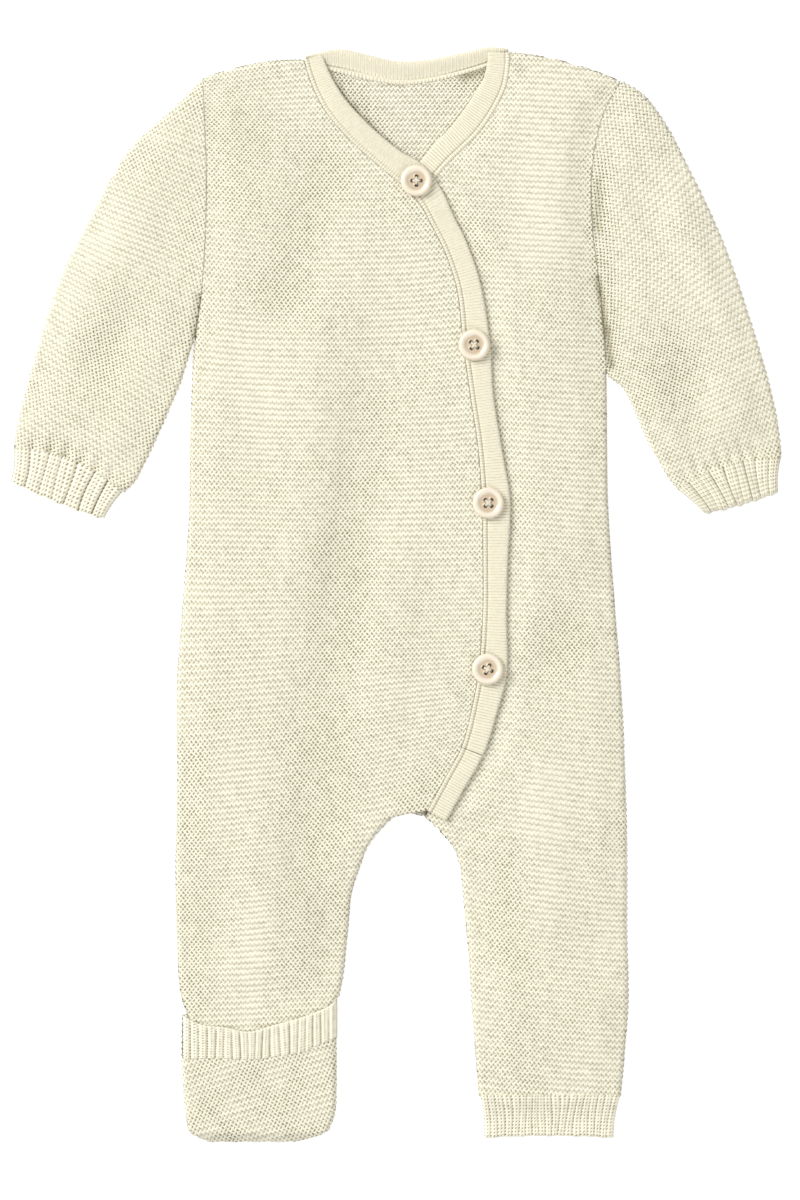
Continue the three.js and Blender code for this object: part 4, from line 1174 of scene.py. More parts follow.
@dataclass
class Sleeve(Panel):
    """Sleeve laid flat as a tube of two sheets that meet at its folds."""

    side: str
    table: np.ndarray
    bow: float
    start: tuple[float, float]
    turns: tuple[float, float, float]  # way the rows advance at the top, half way and at the cuff
    ribs: int  # ribs of its cuff, which gather its end

    @property
    def sign(self) -> int:
        """Direction of the sleeve along x."""
        return -1 if self.side == "right" else 1

    @staticmethod
    def away(points: np.ndarray, x: np.ndarray, y: np.ndarray) -> np.ndarray:
        """Distance of each place to the nearest of the points."""
        return np.min([np.hypot(x - px, y - py) for px, py in points], axis=0)

    def line(self, share: np.ndarray) -> np.ndarray:
        """Cuff end of the sleeve: a straight line with a bow of half a sine.

        Args:
            share: where on the line, from the upper fold, at 0, to the lower one, at 1.

        Returns:
            The points.
        """
        top, under = self.table[-1, :2], self.table[-1, 2:]
        bow = self.bow * np.sin(np.pi * share)
        x = top[0] + (under[0] - top[0]) * share - bow * 0.25 * self.sign
        return column(x, top[1] + (under[1] - top[1]) * share + bow)

    def outline(self) -> Outline:
        """Upper fold, cuff end, lower fold, armhole."""
        along = np.linspace(0, len(self.table) - 1, 90)
        keyed = np.column_stack([np.arange(len(self.table), dtype=float), self.table])
        top = column(read(keyed, 1, along), read(keyed, 2, along))
        under = column(read(keyed, 3, along), read(keyed, 4, along))
        arm = np.linspace(self.table[0, 3], self.table[0, 1], 60)[1:-1]
        armhole = column(side_at(self.side, arm) + self.sign * TOUCH, arm)
        return Outline.of((top, 1.0), (self.line(np.linspace(0, 1, 30)[1:-1]), 0.0),
                          (under[::-1], 1.0), (armhole, 0.0))

    def warp(self) -> Callable:
        """Rows across a line that bends down the sleeve."""
        reach = np.arange(-120.0, 240.0, 0.5)
        share = np.clip(reach / 165.0, 0.0, 1.0) * 2
        turns = np.radians(np.interp(share, [0, 1, 2], self.turns))
        step = np.column_stack([np.cos(turns), -np.sin(turns)]) * 0.5
        line = np.cumsum(step, axis=0)
        line += np.array(self.start) - line[np.argmin(np.abs(reach))]

        def warp(u: np.ndarray, v: np.ndarray) -> tuple[np.ndarray, np.ndarray]:
            """Places of stitch coordinates.

            Args:
                u: wales across the sleeve.
                v: ridges down the sleeve.

            Returns:
                x and y.
            """
            at, across = v * RIDGE_PITCH, u * WALE
            x, y = np.interp(at, reach, line[:, 0]), np.interp(at, reach, line[:, 1])
            turn = np.interp(at, reach, turns)
            sway = 0.3 * ripple(across, at, self.seed, 55.0) + 0.12 * ripple(across, at, 6, 9.0)
            return x + across * np.sin(turn) + sway, y + across * np.cos(turn) + sway

        return warp

    def build(self, materials: list) -> bpy.types.Object:
        """Makes the piece.

        The tube's height is two walls and the air, which eases in over 26 mm from the seams and
        18 mm from the folds. Over the last 17 mm it swells by 1.3 mm times a squared sine, less
        0.75, with one wave a rib, and over the last 12 mm the stitches between these are opened.

        Args:
            materials: knitted and plain material.

        Returns:
            The object.
        """
        outline = self.outline()
        plan = lay_stitches(outline, self.warp(), (-44, 44), (-32, 66))
        x, y = plan.points.T
        ends = smooth(self.away(outline.points[outline.fold == 0], x, y) / 26)
        edges = smooth(self.away(outline.points[outline.fold == 1], x, y) / 18)
        full = 2 * KNIT + SEAM + air_under(x, y) * ends * edges
        top, span = self.table[-1, :2], self.table[-1, 2:] - self.table[-1, :2]
        share = ((x - top[0]) * span[0] + (y - top[1]) * span[1]) / np.dot(span, span)
        away = self.away(self.line(np.linspace(0, 1, 60)), x, y)
        gather = np.sin(np.pi * share * self.ribs) ** 2 - 0.75
        full = full + 1.3 * gather * smooth(1 - away / 17) * edges
        middle = full / 2
        skin = Skin()
        stretch_and_shade = opened(x, y, self.seed) + 0.5 * (0.5 - gather) * smooth(1 - away / 12)
        upper_rim = np.where(plan.fold > 0.5, middle, full - SEAM_DIP)
        add_shell(skin, plan, full, full - KNIT, upper_rim, True, stretch_and_shade)
        lower_rim = np.where(plan.fold > 0.5, middle, SEAM_DIP)
        floor = np.zeros(len(x))
        add_shell(skin, plan, floor, floor + KNIT, lower_rim, False, stretch_and_shade)
        return self.finish(skin, materials, 2 * outline.area())


def wavy(s: np.ndarray, t: np.ndarray, first: float, second: float, turns: float,
         drift: float) -> np.ndarray:
    """Shares across a rib piece, moved so that its ribs aren't even.

    Args:
        s: share across the ribs.
        t: share along the ribs.
        first: amount of the slow wave.
        second: amount of the quick wave.
        turns: radians of the quick wave across the piece.
        drift: radians that it moves along the ribs.

    Returns:
        s + sin(pi s) (first sin(13 s + 1) + second sin(turns s + drift t)).
    """
    return s + np.sin(np.pi * s) * (first * np.sin(s * 13.0 + 1.0) + second * np.sin(s * turns + t * drift))


@dataclass
class Cuff:
    """Ribbed tube laid flat, ribs raised on both faces."""

    name: str
    flat: tuple[float, float]
    seam: tuple[float, ...]  # from x, y, to x, y, bow
    free: tuple[float, ...]  # the same for the free edge
    ribs: int
    rise: float
    base: Callable  # height of the underside from the seam, at 0, to the free edge, at 1
    swell: float = 0.0  # extra height of the upper face at the seam

    def place(self, share: np.ndarray, along: np.ndarray) -> tuple[np.ndarray, np.ndarray]:
        """Straight lines from the bowed seam to the bowed free edge, drawn in a little half way.

        Args:
            share: share across the ribs.
            along: share along them, from the seam.

        Returns:
            x and y.
        """
        bow = 4 * share * (1 - share)
        sx = self.seam[0] + (self.seam[2] - self.seam[0]) * share + self.seam[4] * bow * 0.3
        sy = self.seam[1] + (self.seam[3] - self.seam[1]) * share + abs(self.seam[4]) * bow
        fx = self.free[0] + (self.free[2] - self.free[0]) * share
        fy = self.free[1] + (self.free[3] - self.free[1]) * share + self.free[4] * bow
        pull = 0.8 * np.sin(np.pi * along) * (1 - 2 * share) * np.sign(self.seam[2] - self.seam[0])
        return sx + (fx - sx) * along + pull, sy + (fy - sy) * along

    def build(self, materials: list) -> bpy.types.Object:
        """Makes the piece.

        Both faces are half ellipses round the folds. A rib rises by an eased ramp beside each
        furrow, which is a bell across it, and the stitches are a cosine along the rib times a
        cosine across it. The free edge is ragged by the root of half a sine a rib and two sines
        across the cuff.

        Args:
            materials: rib material.

        Returns:
            The object.
        """
        broad = self.ribs < 12
        per_rib, rows = (16, 44) if broad else (8, 52)
        count = self.ribs * per_rib
        top = np.arange(count + 1) / count
        share = np.concatenate([top, top[::-1][1:-1]])
        face = np.concatenate([np.ones(count + 1), -np.ones(count - 1)])
        face[0] = face[count] = 0.0
        along = np.linspace(-0.035, 1, rows)  # starts a little inside the piece it is sewn to
        s, t = np.meshgrid(share, along)
        side = np.broadcast_to(face, s.shape)
        x, y = self.place(s, t)
        width = math.dist(self.seam[:2], self.seam[2:4])
        length = math.dist(self.seam[:2], self.free[:2])
        full = (2 * RIB + 0.5) / 2
        turn = np.clip(1 - np.minimum(s, 1 - s) * width / 3.4, 0.0, 1.0)
        swing = np.sqrt(1 - turn * turn)  # the tube's folds are round over 3.4 mm
        half = full * swing
        bent = wavy(s, t, 0.014, 0.010, 17.0, 3.0)
        phase = np.mod(bent * self.ribs, 1.0)  # 0 in the furrow beside a rib, 0.5 on its middle
        beside = np.minimum(phase, 1 - phase)
        uneven = 1 + 0.45 * np.sin(s * 37.0 + 1.0)
        furrow = bell(beside / 0.085) * uneven * (0.85 if broad else 0.5)
        furrow = furrow + 0.4 * bell((phase - 0.5) / 0.07) * broad
        wales = bent * self.ribs * (4 if broad else 2) + 0.5
        stitch_rows = t * length / RIB_ROW
        stitch = 0.24 * (0.5 + 0.5 * np.cos(math.tau * stitch_rows)) * np.cos(math.tau * wales)
        free = smooth((1 - t) * length / 1.4)
        raised = (self.rise * (smooth(beside / 0.25) - 1.2 * furrow) + stitch) * (0.3 + 0.7 * free)
        base = self.base(t)
        above = raised + self.swell * (1 - smooth(t / 0.4))
        below = np.maximum(self.rise - raised, 0.0)
        z = (base + full + side * half * (0.65 + 0.35 * free)
             + np.where(side > 0, above, np.where(side < 0, below, 0.0)))
        waves = 0.5 * np.sin(s * 29.0) + 0.4 * np.sin(s * 61.0 + 2.0)
        ragged = 0.7 * np.sin(np.pi * phase) ** 0.5 + waves
        y = y - ragged * smooth((t - 0.6) / 0.4) * (0.7 if broad else 0.35)
        outer = np.stack([x, y, z], 2).reshape(-1, 3)
        ring = len(share)
        inset = RIB / width
        inner_s = inset + s * (1 - 2 * inset)
        ix, iy = self.place(inner_s, t)
        gap = np.where(side == 0, 0.0, np.maximum(0.1, (full - RIB) * swing))
        iz = base + full + side * gap
        inner = np.stack([ix, iy, iz], 2).reshape(-1, 3)
        # The inner skin runs back from the free edge, so that both skins close into one grid
        back = inner.reshape(rows, ring, 3)[::-1].reshape(-1, 3)
        points = np.concatenate([outer, back, outer[:ring]])
        faces = grid_faces(2 * rows + 1, ring, ring=True)
        if facing(points, faces[: ring // 2]).sum() < 0:
            faces = faces[:, ::-1]
        knit = np.stack([wales, stitch_rows], 2)
        stitches = np.concatenate([knit, knit[::-1], knit[:1]]).reshape(-1, 2)
        skin = Skin()
        # Stitches opened, and in the furrows a value above 1 that paints their shade
        openness_and_furrow_shade = 0.6 + 0.8 * furrow
        stretch_and_shade = np.concatenate([openness_and_furrow_shade, openness_and_furrow_shade[::-1], openness_and_furrow_shade[:1]]).ravel()
        skin.add(points, faces, stitches, stretch_and_shade)
        made = skin.make(self.name, materials, Slot.RIB)
        return made


@dataclass
class Strip:
    """Closed strip from a grid of upper points over a grid of lower points."""

    name: str
    slot: Slot
    flat: tuple[float, float]

    def close(self, upper: np.ndarray, lower: np.ndarray, stitches: np.ndarray, stretch_and_shade: Numbers,
              materials: list) -> bpy.types.Object:
        """Joins the two faces with walls.

        Args:
            upper: rows by columns by 3.
            lower: rows by columns by 3, the same plan.
            stitches: rows by columns by 2.
            stretch_and_shade: 0 relaxed to 1 pulled open.
            materials: materials by paint index.

        Returns:
            The object.
        """
        rows, columns = upper.shape[:2]
        faces = grid_faces(rows, columns)
        top, low = upper.reshape(-1, 3), lower.reshape(-1, 3)
        total = rows * columns
        index = np.arange(total).reshape(rows, columns)
        loop = np.concatenate([index[0, :-1], index[:-1, -1], index[-1, :0:-1], index[:0:-1, 0]])
        walls = wall_faces(loop, np.roll(loop, -1), total)
        every = np.concatenate([faces, faces[:, ::-1] + total, walls])
        if facing(top, faces).sum() < 0:
            every = every[:, ::-1]
        skin = Skin()
        flat = stitches.reshape(-1, 2)
        spread = np.broadcast_to(stretch_and_shade, (total,))
        skin.add(np.concatenate([top, low]), every, np.concatenate([flat, flat]),
                 np.concatenate([spread, spread]))
        made = skin.make(self.name, materials, self.slot)
        return made


def linking_bead(far: np.ndarray) -> np.ndarray:
    """Raised ridge beside a band's seam: 0.4 times a flat-topped bell, far from the seam."""
    return 0.4 * bell(far - 1.3, 4)


def linking_chain(along: np.ndarray, far: np.ndarray, height: float) -> np.ndarray:
    """Chain stitches on the ridge: a cosine along the band times a bell across it."""
    return height * np.cos(math.tau * along / CHAIN)[:, None] * bell((far - CHAIN_AT) / 0.8)


def fine_rows(along: np.ndarray, far: np.ndarray, pitch: float) -> np.ndarray:
    """Rows across a band: a cosine along it, easing in beyond its ridge."""
    return 0.2 * np.cos(math.tau * along / pitch)[:, None] * smooth((far - 2.4) / 1.2)


@dataclass
class Band(Strip):
    """Fine knitted band beside a panel edge, with its linking ridge on the garment side."""

    table: np.ndarray
    span: tuple[float, float]  # y from, y to
    side: int  # 1 if the band lies at +X of its seam, -1 at -X
    seat: Callable  # height of what it lies on, by y
    trim: float = 0.0  # how much narrower it is than the table says

    def build(self, materials: list) -> bpy.types.Object:
        """Makes the piece.

        Its points lie at set distances from the seam's curve. The height is the wall plus the
        linking bead and its chain, less the groove beyond it, plus the fine rows, and the free edge
        is a quarter of an ellipse.

        Args:
            materials: band material.

        Returns:
            The object.
        """
        ys = np.linspace(self.span[0], self.span[1], 400)
        xs = read(self.table, 1, ys)
        run = np.concatenate([[0], np.cumsum(np.hypot(np.diff(xs), np.diff(ys)))])
        steps = np.linspace(0, run[-1], max(8, int(run[-1] / STRIPE * 4)))
        y = np.interp(steps, run, ys)
        x = read(self.table, 1, y)
        tx, ty = np.gradient(x), np.gradient(y)
        size = np.hypot(tx, ty)
        nx, ny = -self.side * ty / size, self.side * tx / size
        width = read(self.table, 2, y) - self.trim
        across = np.array([0.0, 0.35, 0.8, 1.3, 1.8, 2.2, 2.5, 2.75, 3.0, 3.3, 3.8, 5.5, 7.5, 9.5, 11.0])
        share = np.concatenate([across / 12.0, [0.95, 0.98, 1.0]])[None]
        beyond = 3.6 + (share - 0.3) / 0.7 * (width[:, None] - 3.6)
        far = np.where(share < 0.3, share * 12.0, beyond)  # only the part beyond the ridge stretches
        px, py = x[:, None] + nx[:, None] * far, y[:, None] + ny[:, None] * far
        left = width[:, None] - far
        bead = linking_bead(far)
        groove = -0.75 * bell((far - 2.75) / 0.32)
        turn = np.clip(1 - left / 1.6, 0.0, 1.0)
        edge = -0.9 * (1 - np.sqrt(1 - turn * turn)) - 0.35 * bell(far / 0.35)
        stripes = fine_rows(steps, far, STRIPE)
        chain = linking_chain(steps, far, 0.2)
        base = self.seat(y)[:, None]
        z = base + BAND - 0.05 + bead + groove + edge + stripes + chain
        upper = np.stack([px, py, z], 2)
        lower = np.stack([px, py, np.broadcast_to(base, px.shape)], 2)
        stitches = np.stack([far / 2.4, np.broadcast_to(steps[:, None] / STRIPE, far.shape)], 2)
        return self.close(upper, lower, stitches, 0.4, materials)


@dataclass
class BackNeckband(Strip):
    """Band at the back of the neck."""

    def build(self, materials: list) -> bpy.types.Object:
        """Makes the piece.

        Its points lie at set shares between the seam and the free edge. The height is that of the
        other bands plus a tilt, eased up toward the free edge and down at it.

        Args:
            materials: band material.

        Returns:
            The object.
        """
        x = np.linspace(BACK_NECK[0, 0] + 1, BACK_NECK[-1, 0] - 1, 330)
        seam, free = read(BACK_NECK, 1, x), read(BACK_NECK, 2, x)
        share = np.array([0, 0.03, 0.06, 0.1, 0.14, 0.17, 0.195, 0.215, 0.24, 0.28, 0.33, 0.4, 0.55,
                          0.7, 0.82, 0.9, 0.96, 1.0])
        px = np.broadcast_to(x[:, None], (len(x), len(share)))
        py = seam[:, None] + (free - seam)[:, None] * share
        far = share * 13.0  # about the millimetres from the seam
        pitch = 1.3 * STRIPE
        bead = linking_bead(far) + linking_chain(x, far, 0.1)
        groove = -0.6 * bell((far - 2.75) / 0.35) - 0.2 * bell(far / 0.35)
        tilt = 1.7 * smooth((far - 2.2) / 9.0) - 1.1 * smooth((share - 0.9) / 0.1)
        upper = np.stack([px, py, BAND + 0.1 + bead + groove + tilt + fine_rows(x, far, pitch)], 2)
        lower = np.stack([px, py, np.zeros(px.shape)], 2)
        stitches = np.stack([np.broadcast_to(far / 2.4, px.shape), px / pitch], 2)
        # Painted shade in and beside the groove past the linking ridge, stronger toward the ends
        toward_ends = smooth((np.abs(x - 5.0) - 8.0) / 35.0)
        painted_sunk_shade = (0.6 + 0.5 * toward_ends)[:, None] * bell((far - 3.2) / 0.8)
        return self.close(upper, lower, stitches, (0.4 + painted_sunk_shade).ravel(), materials)


@dataclass
class CoverRib(Strip):
    """Rib edge of a foot cover."""

    ends: tuple[float, float]  # x from, x to
    upper_edge: Callable  # y of the free edge, by x
    lower_edge: Callable  # y of the seam, by x
    base: float
    wall: float = RIB
    underside: bool = False  # True if its ribs face the floor
    roll: float = 0.0  # how far the side edges turn down to the fold

    def build(self, materials: list) -> bpy.types.Object:
        """Makes the piece.

        Rows run from the free edge to the seam. Ribs and stitches are made like those of the cuffs
        and ease in at the free edge and the sides, and the sides roll down as quarters of an ellipse.

        Args:
            materials: rib material.

        Returns:
            The object.
        """
        columns, rows = COVER_RIBS * 8 + 1, 44
        s, t = np.meshgrid(np.linspace(0, 1, columns), np.linspace(0, 1, rows))
        x = self.ends[0] + (self.ends[1] - self.ends[0]) * s
        top, low = self.upper_edge(x), self.lower_edge(x)
        y = top + (low - top) * t
        broad, high = COVER_RIB_SIZE
        bent = wavy(s, t, 0.010, 0.006, 23.0, 2.0)
        phase = np.mod(bent * COVER_RIBS, 1.0)  # 0 in the furrow beside a rib, 0.5 on its middle
        beside = np.minimum(phase, 1 - phase)
        uneven = 0.75 + 0.35 * np.sin(s * 37.0 + 1.0)
        furrow = bell(beside / 0.16) * uneven * smooth((t - 0.05) / 0.12)
        wales, stitch_rows = bent * COVER_RIBS * 2 + 0.5, t * high / RIB_ROW
        stitch = 0.26 * (0.5 + 0.5 * np.cos(math.tau * stitch_rows)) * np.cos(math.tau * wales)
        ends = smooth(t * high / 1.6) * smooth(np.minimum(s, 1 - s) * broad / 1.5)
        raised = (RIB_RISE * (smooth(beside / 0.3) - 1.1 * furrow) + stitch) * ends - (1 - ends) * 0.6
        reach = np.clip(1 - np.minimum(s, 1 - s) * (self.ends[1] - self.ends[0]) / 3.0, 0.0, 1.0)
        roll = self.roll * (1 - np.sqrt(1 - reach * reach))
        if self.underside:
            upper = np.stack([x, y, np.full(x.shape, self.wall)], 2)
            lower = np.stack([x, y, np.maximum(self.base + RIB_RISE - raised, 0.0)], 2)
        else:
            upper = np.stack([x, y, self.base + self.wall + raised - roll], 2)
            lower = np.stack([x, y, self.base - roll * 0.6], 2)
        stitches = np.stack([wales, stitch_rows], 2)
        # Openness, and in the furrows a value above 1 that paints their shade
        return self.close(upper, lower, stitches, (0.5 + 0.75 * furrow).ravel(), materials)


@dataclass
class RightFootCover(Panel):
    """Pocket turned up over the right foot."""

    centre: tuple[float, float] = (-77, -285)
    turn: float = 15.0  # how far its rows are turned, in degrees
    thin: float = 3.6  # how much lower the pocket is at its bottom

    def outline_from(self, top: Callable) -> Outline:
        """Outline of one face of the pocket.

        Args:
            top: y of its upper edge, by x.

        Returns:
            The outline below that edge.
        """
        x = np.linspace(-120.8, -33.8, 50)[1:-1]
        start = top(x)
        right = np.linspace(start[0], POCKET[-1, 0], 70)
        left = np.linspace(start[-1], POCKET[-1, 0], 70)
        return Outline.of((column(x[::-1], start[::-1]), 0.0),
                          (column(read(POCKET, 1, right), right), 0.6),
                          (column(read(POCKET, 2, left), left)[::-1], 0.6))

    def outline(self) -> Outline:
        """Outline of the front, which ends at the rib edge's seam."""
        return self.outline_from(lambda x: read(COVER_SEAM, 1, x) - TOUCH)

    def warp(self) -> Callable:
        """Level rows, turned."""
        turn = math.radians(self.turn)

        def warp(u: np.ndarray, v: np.ndarray) -> tuple[np.ndarray, np.ndarray]:
            """Places of wales u and ridges v."""
            a, b = u * WALE, v * RIDGE_PITCH
            return (self.centre[0] + a * math.cos(turn) - b * math.sin(turn),
                    self.centre[1] + a * math.sin(turn) + b * math.cos(turn))

        return warp

    def build(self, materials: list) -> bpy.types.Object:
        """Makes the piece.

        Args:
            materials: knitted and plain material.

        Returns:
            The object.
        """
        full = 4 * KNIT + 3 * SEAM
        skin = Skin()
        front = self.outline()
        back = self.outline_from(lambda x: np.full(np.shape(x), POCKET[0, 0]))
        for outline, up in ((front, True), (back, False)):
            plan = lay_stitches(outline, self.warp(), (-22, 22), (-14, 22))
            x, y = plan.points.T
            height = full - self.thin * smooth((-303 - y) / 6)
            middle = height / 2
            open_rim = height - SEAM_DIP if up else np.full(len(x), SEAM_DIP)
            rim = np.where(plan.fold > 0.5, middle, open_rim)
            outer = height if up else np.zeros(len(x))
            inner = height - KNIT if up else np.full(len(x), KNIT)
            stretch_and_shade = np.clip(0.66 + 0.26 * ripple(x, y, self.seed, 24.0), 0, 1)
            add_shell(skin, plan, outer, inner, rim, up, stretch_and_shade)
        return self.finish(skin, materials, front.area() + back.area())


@dataclass
class LeftFootCover(Panel):
    """Foot cover turned to the back, pressed flat under the left leg."""

    centre: tuple[float, float] = (88, -268)

    def outline(self) -> Outline:
        """Outline within the leg's, from the rib edge's seam to its bottom."""
        y = np.linspace(TUCKED["seam"] - SEAM, TUCKED["bottom"], 30)
        right = inseam_at("left", y) + TUCKED["margin"]
        left = side_at("left", y) - TUCKED["margin"]
        return Outline.of((column(right, y), 0.0), (column(left, y)[::-1], 0.0))

    def warp(self) -> Callable:
        """Level rows."""
        return lambda u, v: (u * WALE + self.centre[0], v * RIDGE_PITCH + self.centre[1])

    def build(self, materials: list) -> bpy.types.Object:
        """Makes the piece.

        Args:
            materials: knitted and plain material.

        Returns:
            The object.
        """
        outline = self.outline()
        plan = lay_stitches(outline, self.warp(), (-20, 20), (-8, 8))
        floor = np.zeros(len(plan.points))
        skin = Skin()
        add_shell(skin, plan, floor, floor + TUCKED["thick"], floor + TUCKED["thick"] / 2, False,
                  floor + 0.5)
        return self.finish(skin, materials, outline.area())


CORNERS = ((1, 1), (-1, 1), (-1, -1), (1, -1))  # where a button's holes lie


def circle(radius: float, count: int, cx: float = 0.0, cy: float = 0.0) -> np.ndarray:
    """Points evenly round a circle."""
    a = np.arange(count) * math.tau / count
    return np.column_stack([cx + radius * np.cos(a), cy + radius * np.sin(a)])


@dataclass(frozen=True)
class Button:
    """Four-hole button, domed rim and dished middle, with its sewing thread."""

    name: str
    x: float
    y: float
    turn: float
    radius: float = 8.9
    hole: float = 1.2  # radius of a hole
    pitch: float = 3.4  # between neighbouring holes
    seat: float = 7.5  # height of its underside
    thread: float = 0.27  # radius of a strand
    spread: float = 0.3  # of a stitch's two strands, from its middle
    around: int = 72  # points round the rim

    def placed(self, points: np.ndarray) -> np.ndarray:
        """Points turned with the button and moved to its seat."""
        c, s = math.cos(self.turn), math.sin(self.turn)
        return np.column_stack([self.x + points[:, 0] * c - points[:, 1] * s,
                                self.y + points[:, 0] * s + points[:, 1] * c,
                                self.seat + points[:, 2]])

    @staticmethod
    def profile(r: np.ndarray) -> tuple[np.ndarray, np.ndarray]:
        """Heights of the upper and the lower face over the radius."""
        upper = np.interp(r, [0, 4.5, 5.1, 5.9, 6.9, 7.7, 8.3, 8.7, 8.9],
                          [2.1, 2.1, 2.25, 2.65, 3.0, 2.93, 2.5, 2.0, 1.5])
        return upper, np.interp(r, [6.7, 8.4, 8.9], [0.0, 0.7, 1.5])

    def build(self, materials: list) -> bpy.types.Object:
        """Makes the button and its thread: two faces around the holes, and walls between them.

        Args:
            materials: button, thread and the holes' painted shade.

        Returns:
            The object.
        """
        half = self.pitch / 2
        rims = [circle(self.radius, self.around)]
        rims += [circle(self.hole, 20, sx * half, sy * half) for sx, sy in CORNERS]
        radii = (0.6, 4.4, 4.8, 5.2, 5.6, 6.0, 6.5, 7.0, 7.5, 7.9, 8.3, 8.6, 8.8)
        inner = np.concatenate([circle(r, 48 if r > 4 else 6) for r in radii] + [circle(3.8, 24)])
        clear = np.all([np.hypot(inner[:, 0] - sx * half, inner[:, 1] - sy * half) > self.hole + 0.15
                        for sx, sy in CORNERS], axis=0)
        inner = inner[clear]
        loops, start = [], 0
        for rim in rims:
            k = np.arange(len(rim))
            loops.append(np.stack([start + k, start + (k + 1) % len(rim)], 1))
            start += len(rim)
        edges = np.concatenate(loops)
        flat = np.concatenate(rims + [inner])
        places = [Vector(p) for p in flat]
        _, _, triangles, origins, _, _ = delaunay_2d_cdt(places, edges.tolist(), [], 1, 1e-6)
        source = np.array([o[0] for o in origins])
        faces = source[np.array(triangles, np.int64)]
        centre = flat[faces].mean(1)
        for sx, sy in CORNERS:
            out = np.hypot(centre[:, 0] - sx * half, centre[:, 1] - sy * half) > self.hole * 0.8
            faces, centre = faces[out], centre[out]
        faces = np.where((facing(flat, faces) < 0)[:, None], faces[:, ::-1], faces)
        r = np.hypot(*flat.T)
        upper, lower = self.profile(r)
        body = self.placed(np.concatenate([np.column_stack([flat, upper]),
                                           np.column_stack([flat, lower])]))
        total = len(flat)
        walls = wall_faces(*edges.T, total)
        at_hole = np.tile(edges[:, 0] >= self.around, 2)
        walls = np.where(at_hole[:, None], walls, walls[:, ::-1])
        reach = np.column_stack([np.concatenate([r, r]) / self.radius, np.zeros(2 * total)])
        # The walls of the holes take the third material, painted shade
        paint = np.concatenate([np.zeros(2 * len(faces), int), np.where(at_hole, 2, 0)])
        skin = Skin()
        skin.add(body, np.concatenate([faces, faces[:, ::-1] + total, walls]), reach,
                 np.zeros(len(body)), paint)
        self.sew(skin)
        return skin.make(self.name, materials, Slot.BUTTON)

    def sew(self, skin: Skin) -> None:
        """Adds two crossing stitches of two strands each, tubes arched from hole to hole.

        Args:
            skin: where they are added.
        """
        count, around = 13, 8
        t = np.linspace(0, 1, count)
        ring = np.arange(around) * math.tau / around
        reach = (t - 0.5) * self.pitch * math.sqrt(2)
        dive = np.clip(np.abs(t - 0.5) * 2 - 0.62, 0, 1) ** 1.3 * 4.4
        fan, hub = np.arange(1, around - 1), np.zeros(around - 2, int)
        caps = np.concatenate([np.stack([hub, fan, fan + 1], 1),
                               np.stack([hub, fan + 1, fan], 1) + (count - 1) * around])
        for order, (ax, ay) in enumerate(((-1, -1), (-1, 1))):
            direction = np.array([-ax, -ay]) / math.sqrt(2)
            normal = np.array([-direction[1], direction[0]])
            for strand in (-self.spread, self.spread):
                line = direction * reach[:, None] + normal * strand
                centre = np.column_stack([line, 2.45 + 0.28 * order - dive])
                offset = (np.cos(ring)[None, :, None] * np.append(normal, 0)
                          + np.sin(ring)[None, :, None] * np.array([0, 0, 1.0])) * self.thread
                tube = (centre[:, None, :] + offset).reshape(-1, 3)
                every = np.concatenate([grid_faces(count, around, ring=True), caps])
                p = tube[every[0]]
                if np.dot(np.cross(p[1] - p[0], p[2] - p[0]), p.mean(0) - centre[0]) < 0:
                    every = every[:, ::-1]
                skin.add(self.placed(tube), every, np.zeros((len(tube), 2)), np.zeros(len(tube)), 1)


@dataclass(frozen=True)
class Studio:
    """Camera straight above, soft lights and a plain pale floor."""

    centre: tuple[float, float] = (1.98, -3.1)  # x, y below the camera
    view_height: float = 678.0  # millimetres of floor in the picture's height
    distance: float = 4000.0  # millimetres above the floor
    sensor: float = 36.0
    floor_half: float = 4  # metres
    floor_z: float = -0.0002  # metres
    white: tuple[float, ...] = (1.0, 1.0, 1.0, 1.0)

    def camera(self) -> None:
        """Adds the camera: the picture's long side sees view_height at floor level."""
        data = bpy.data.cameras.new("camera")
        data.sensor_width = self.sensor
        data.lens = self.sensor * self.distance / self.view_height
        data.clip_start, data.clip_end = 0.1, 50.0
        data.dof.use_dof = False
        made = add_object("camera", data)
        made.location = (self.centre[0] * METRE, self.centre[1] * METRE, self.distance * METRE)
        bpy.context.scene.camera = made

    def light(self, name: str, place: tuple[float, float, float], size: float, power: float) -> None:
        """Adds a square area light aimed at the garment.

        Args:
            name: object name.
            place: where it stands, in metres.
            size: side of the square, in metres.
            power: watts.
        """
        data = bpy.data.lights.new(name, "AREA")
        data.size, data.energy = size, power
        made = add_object(name, data)
        made.location = place
        made.rotation_mode = "QUATERNION"
        made.rotation_quaternion = (-Vector(place)).to_track_quat("-Z", "Y")

    def floor(self) -> None:
        """Adds the floor, a square just below the garment."""
        mesh = bpy.data.meshes.new("floor")
        half, low = self.floor_half, self.floor_z
        corners = [(-half, -half, low), (half, -half, low), (half, half, low), (-half, half, low)]
        mesh.from_pydata(corners, [], [(0, 1, 2, 3)])
        mesh.materials.append(Shader("floor").finish(
            Base_Color=(0.4, 0.4, 0.4, 1.0), Roughness=0.9, Emission_Color=self.white,
            Emission_Strength=0.72))
        add_object("floor", mesh)

    def build(self) -> None:
        """Sets up the studio."""
        self.camera()
        self.floor()
        self.light("key", (-4.0, 2.8, 3.6), size=3.0, power=385.0)
        self.light("fill", (2.2, -3.0, 3.4), size=3.0, power=84.0)
        world = bpy.data.worlds.new("studio")
        world.use_nodes = True
        background = next(n for n in world.node_tree.nodes if n.type == "BACKGROUND")
        background.inputs["Color"].default_value = self.white
        background.inputs["Strength"].default_value = 0.50
        bpy.context.scene.world = world
        bpy.context.scene.view_settings.view_transform = "Standard"


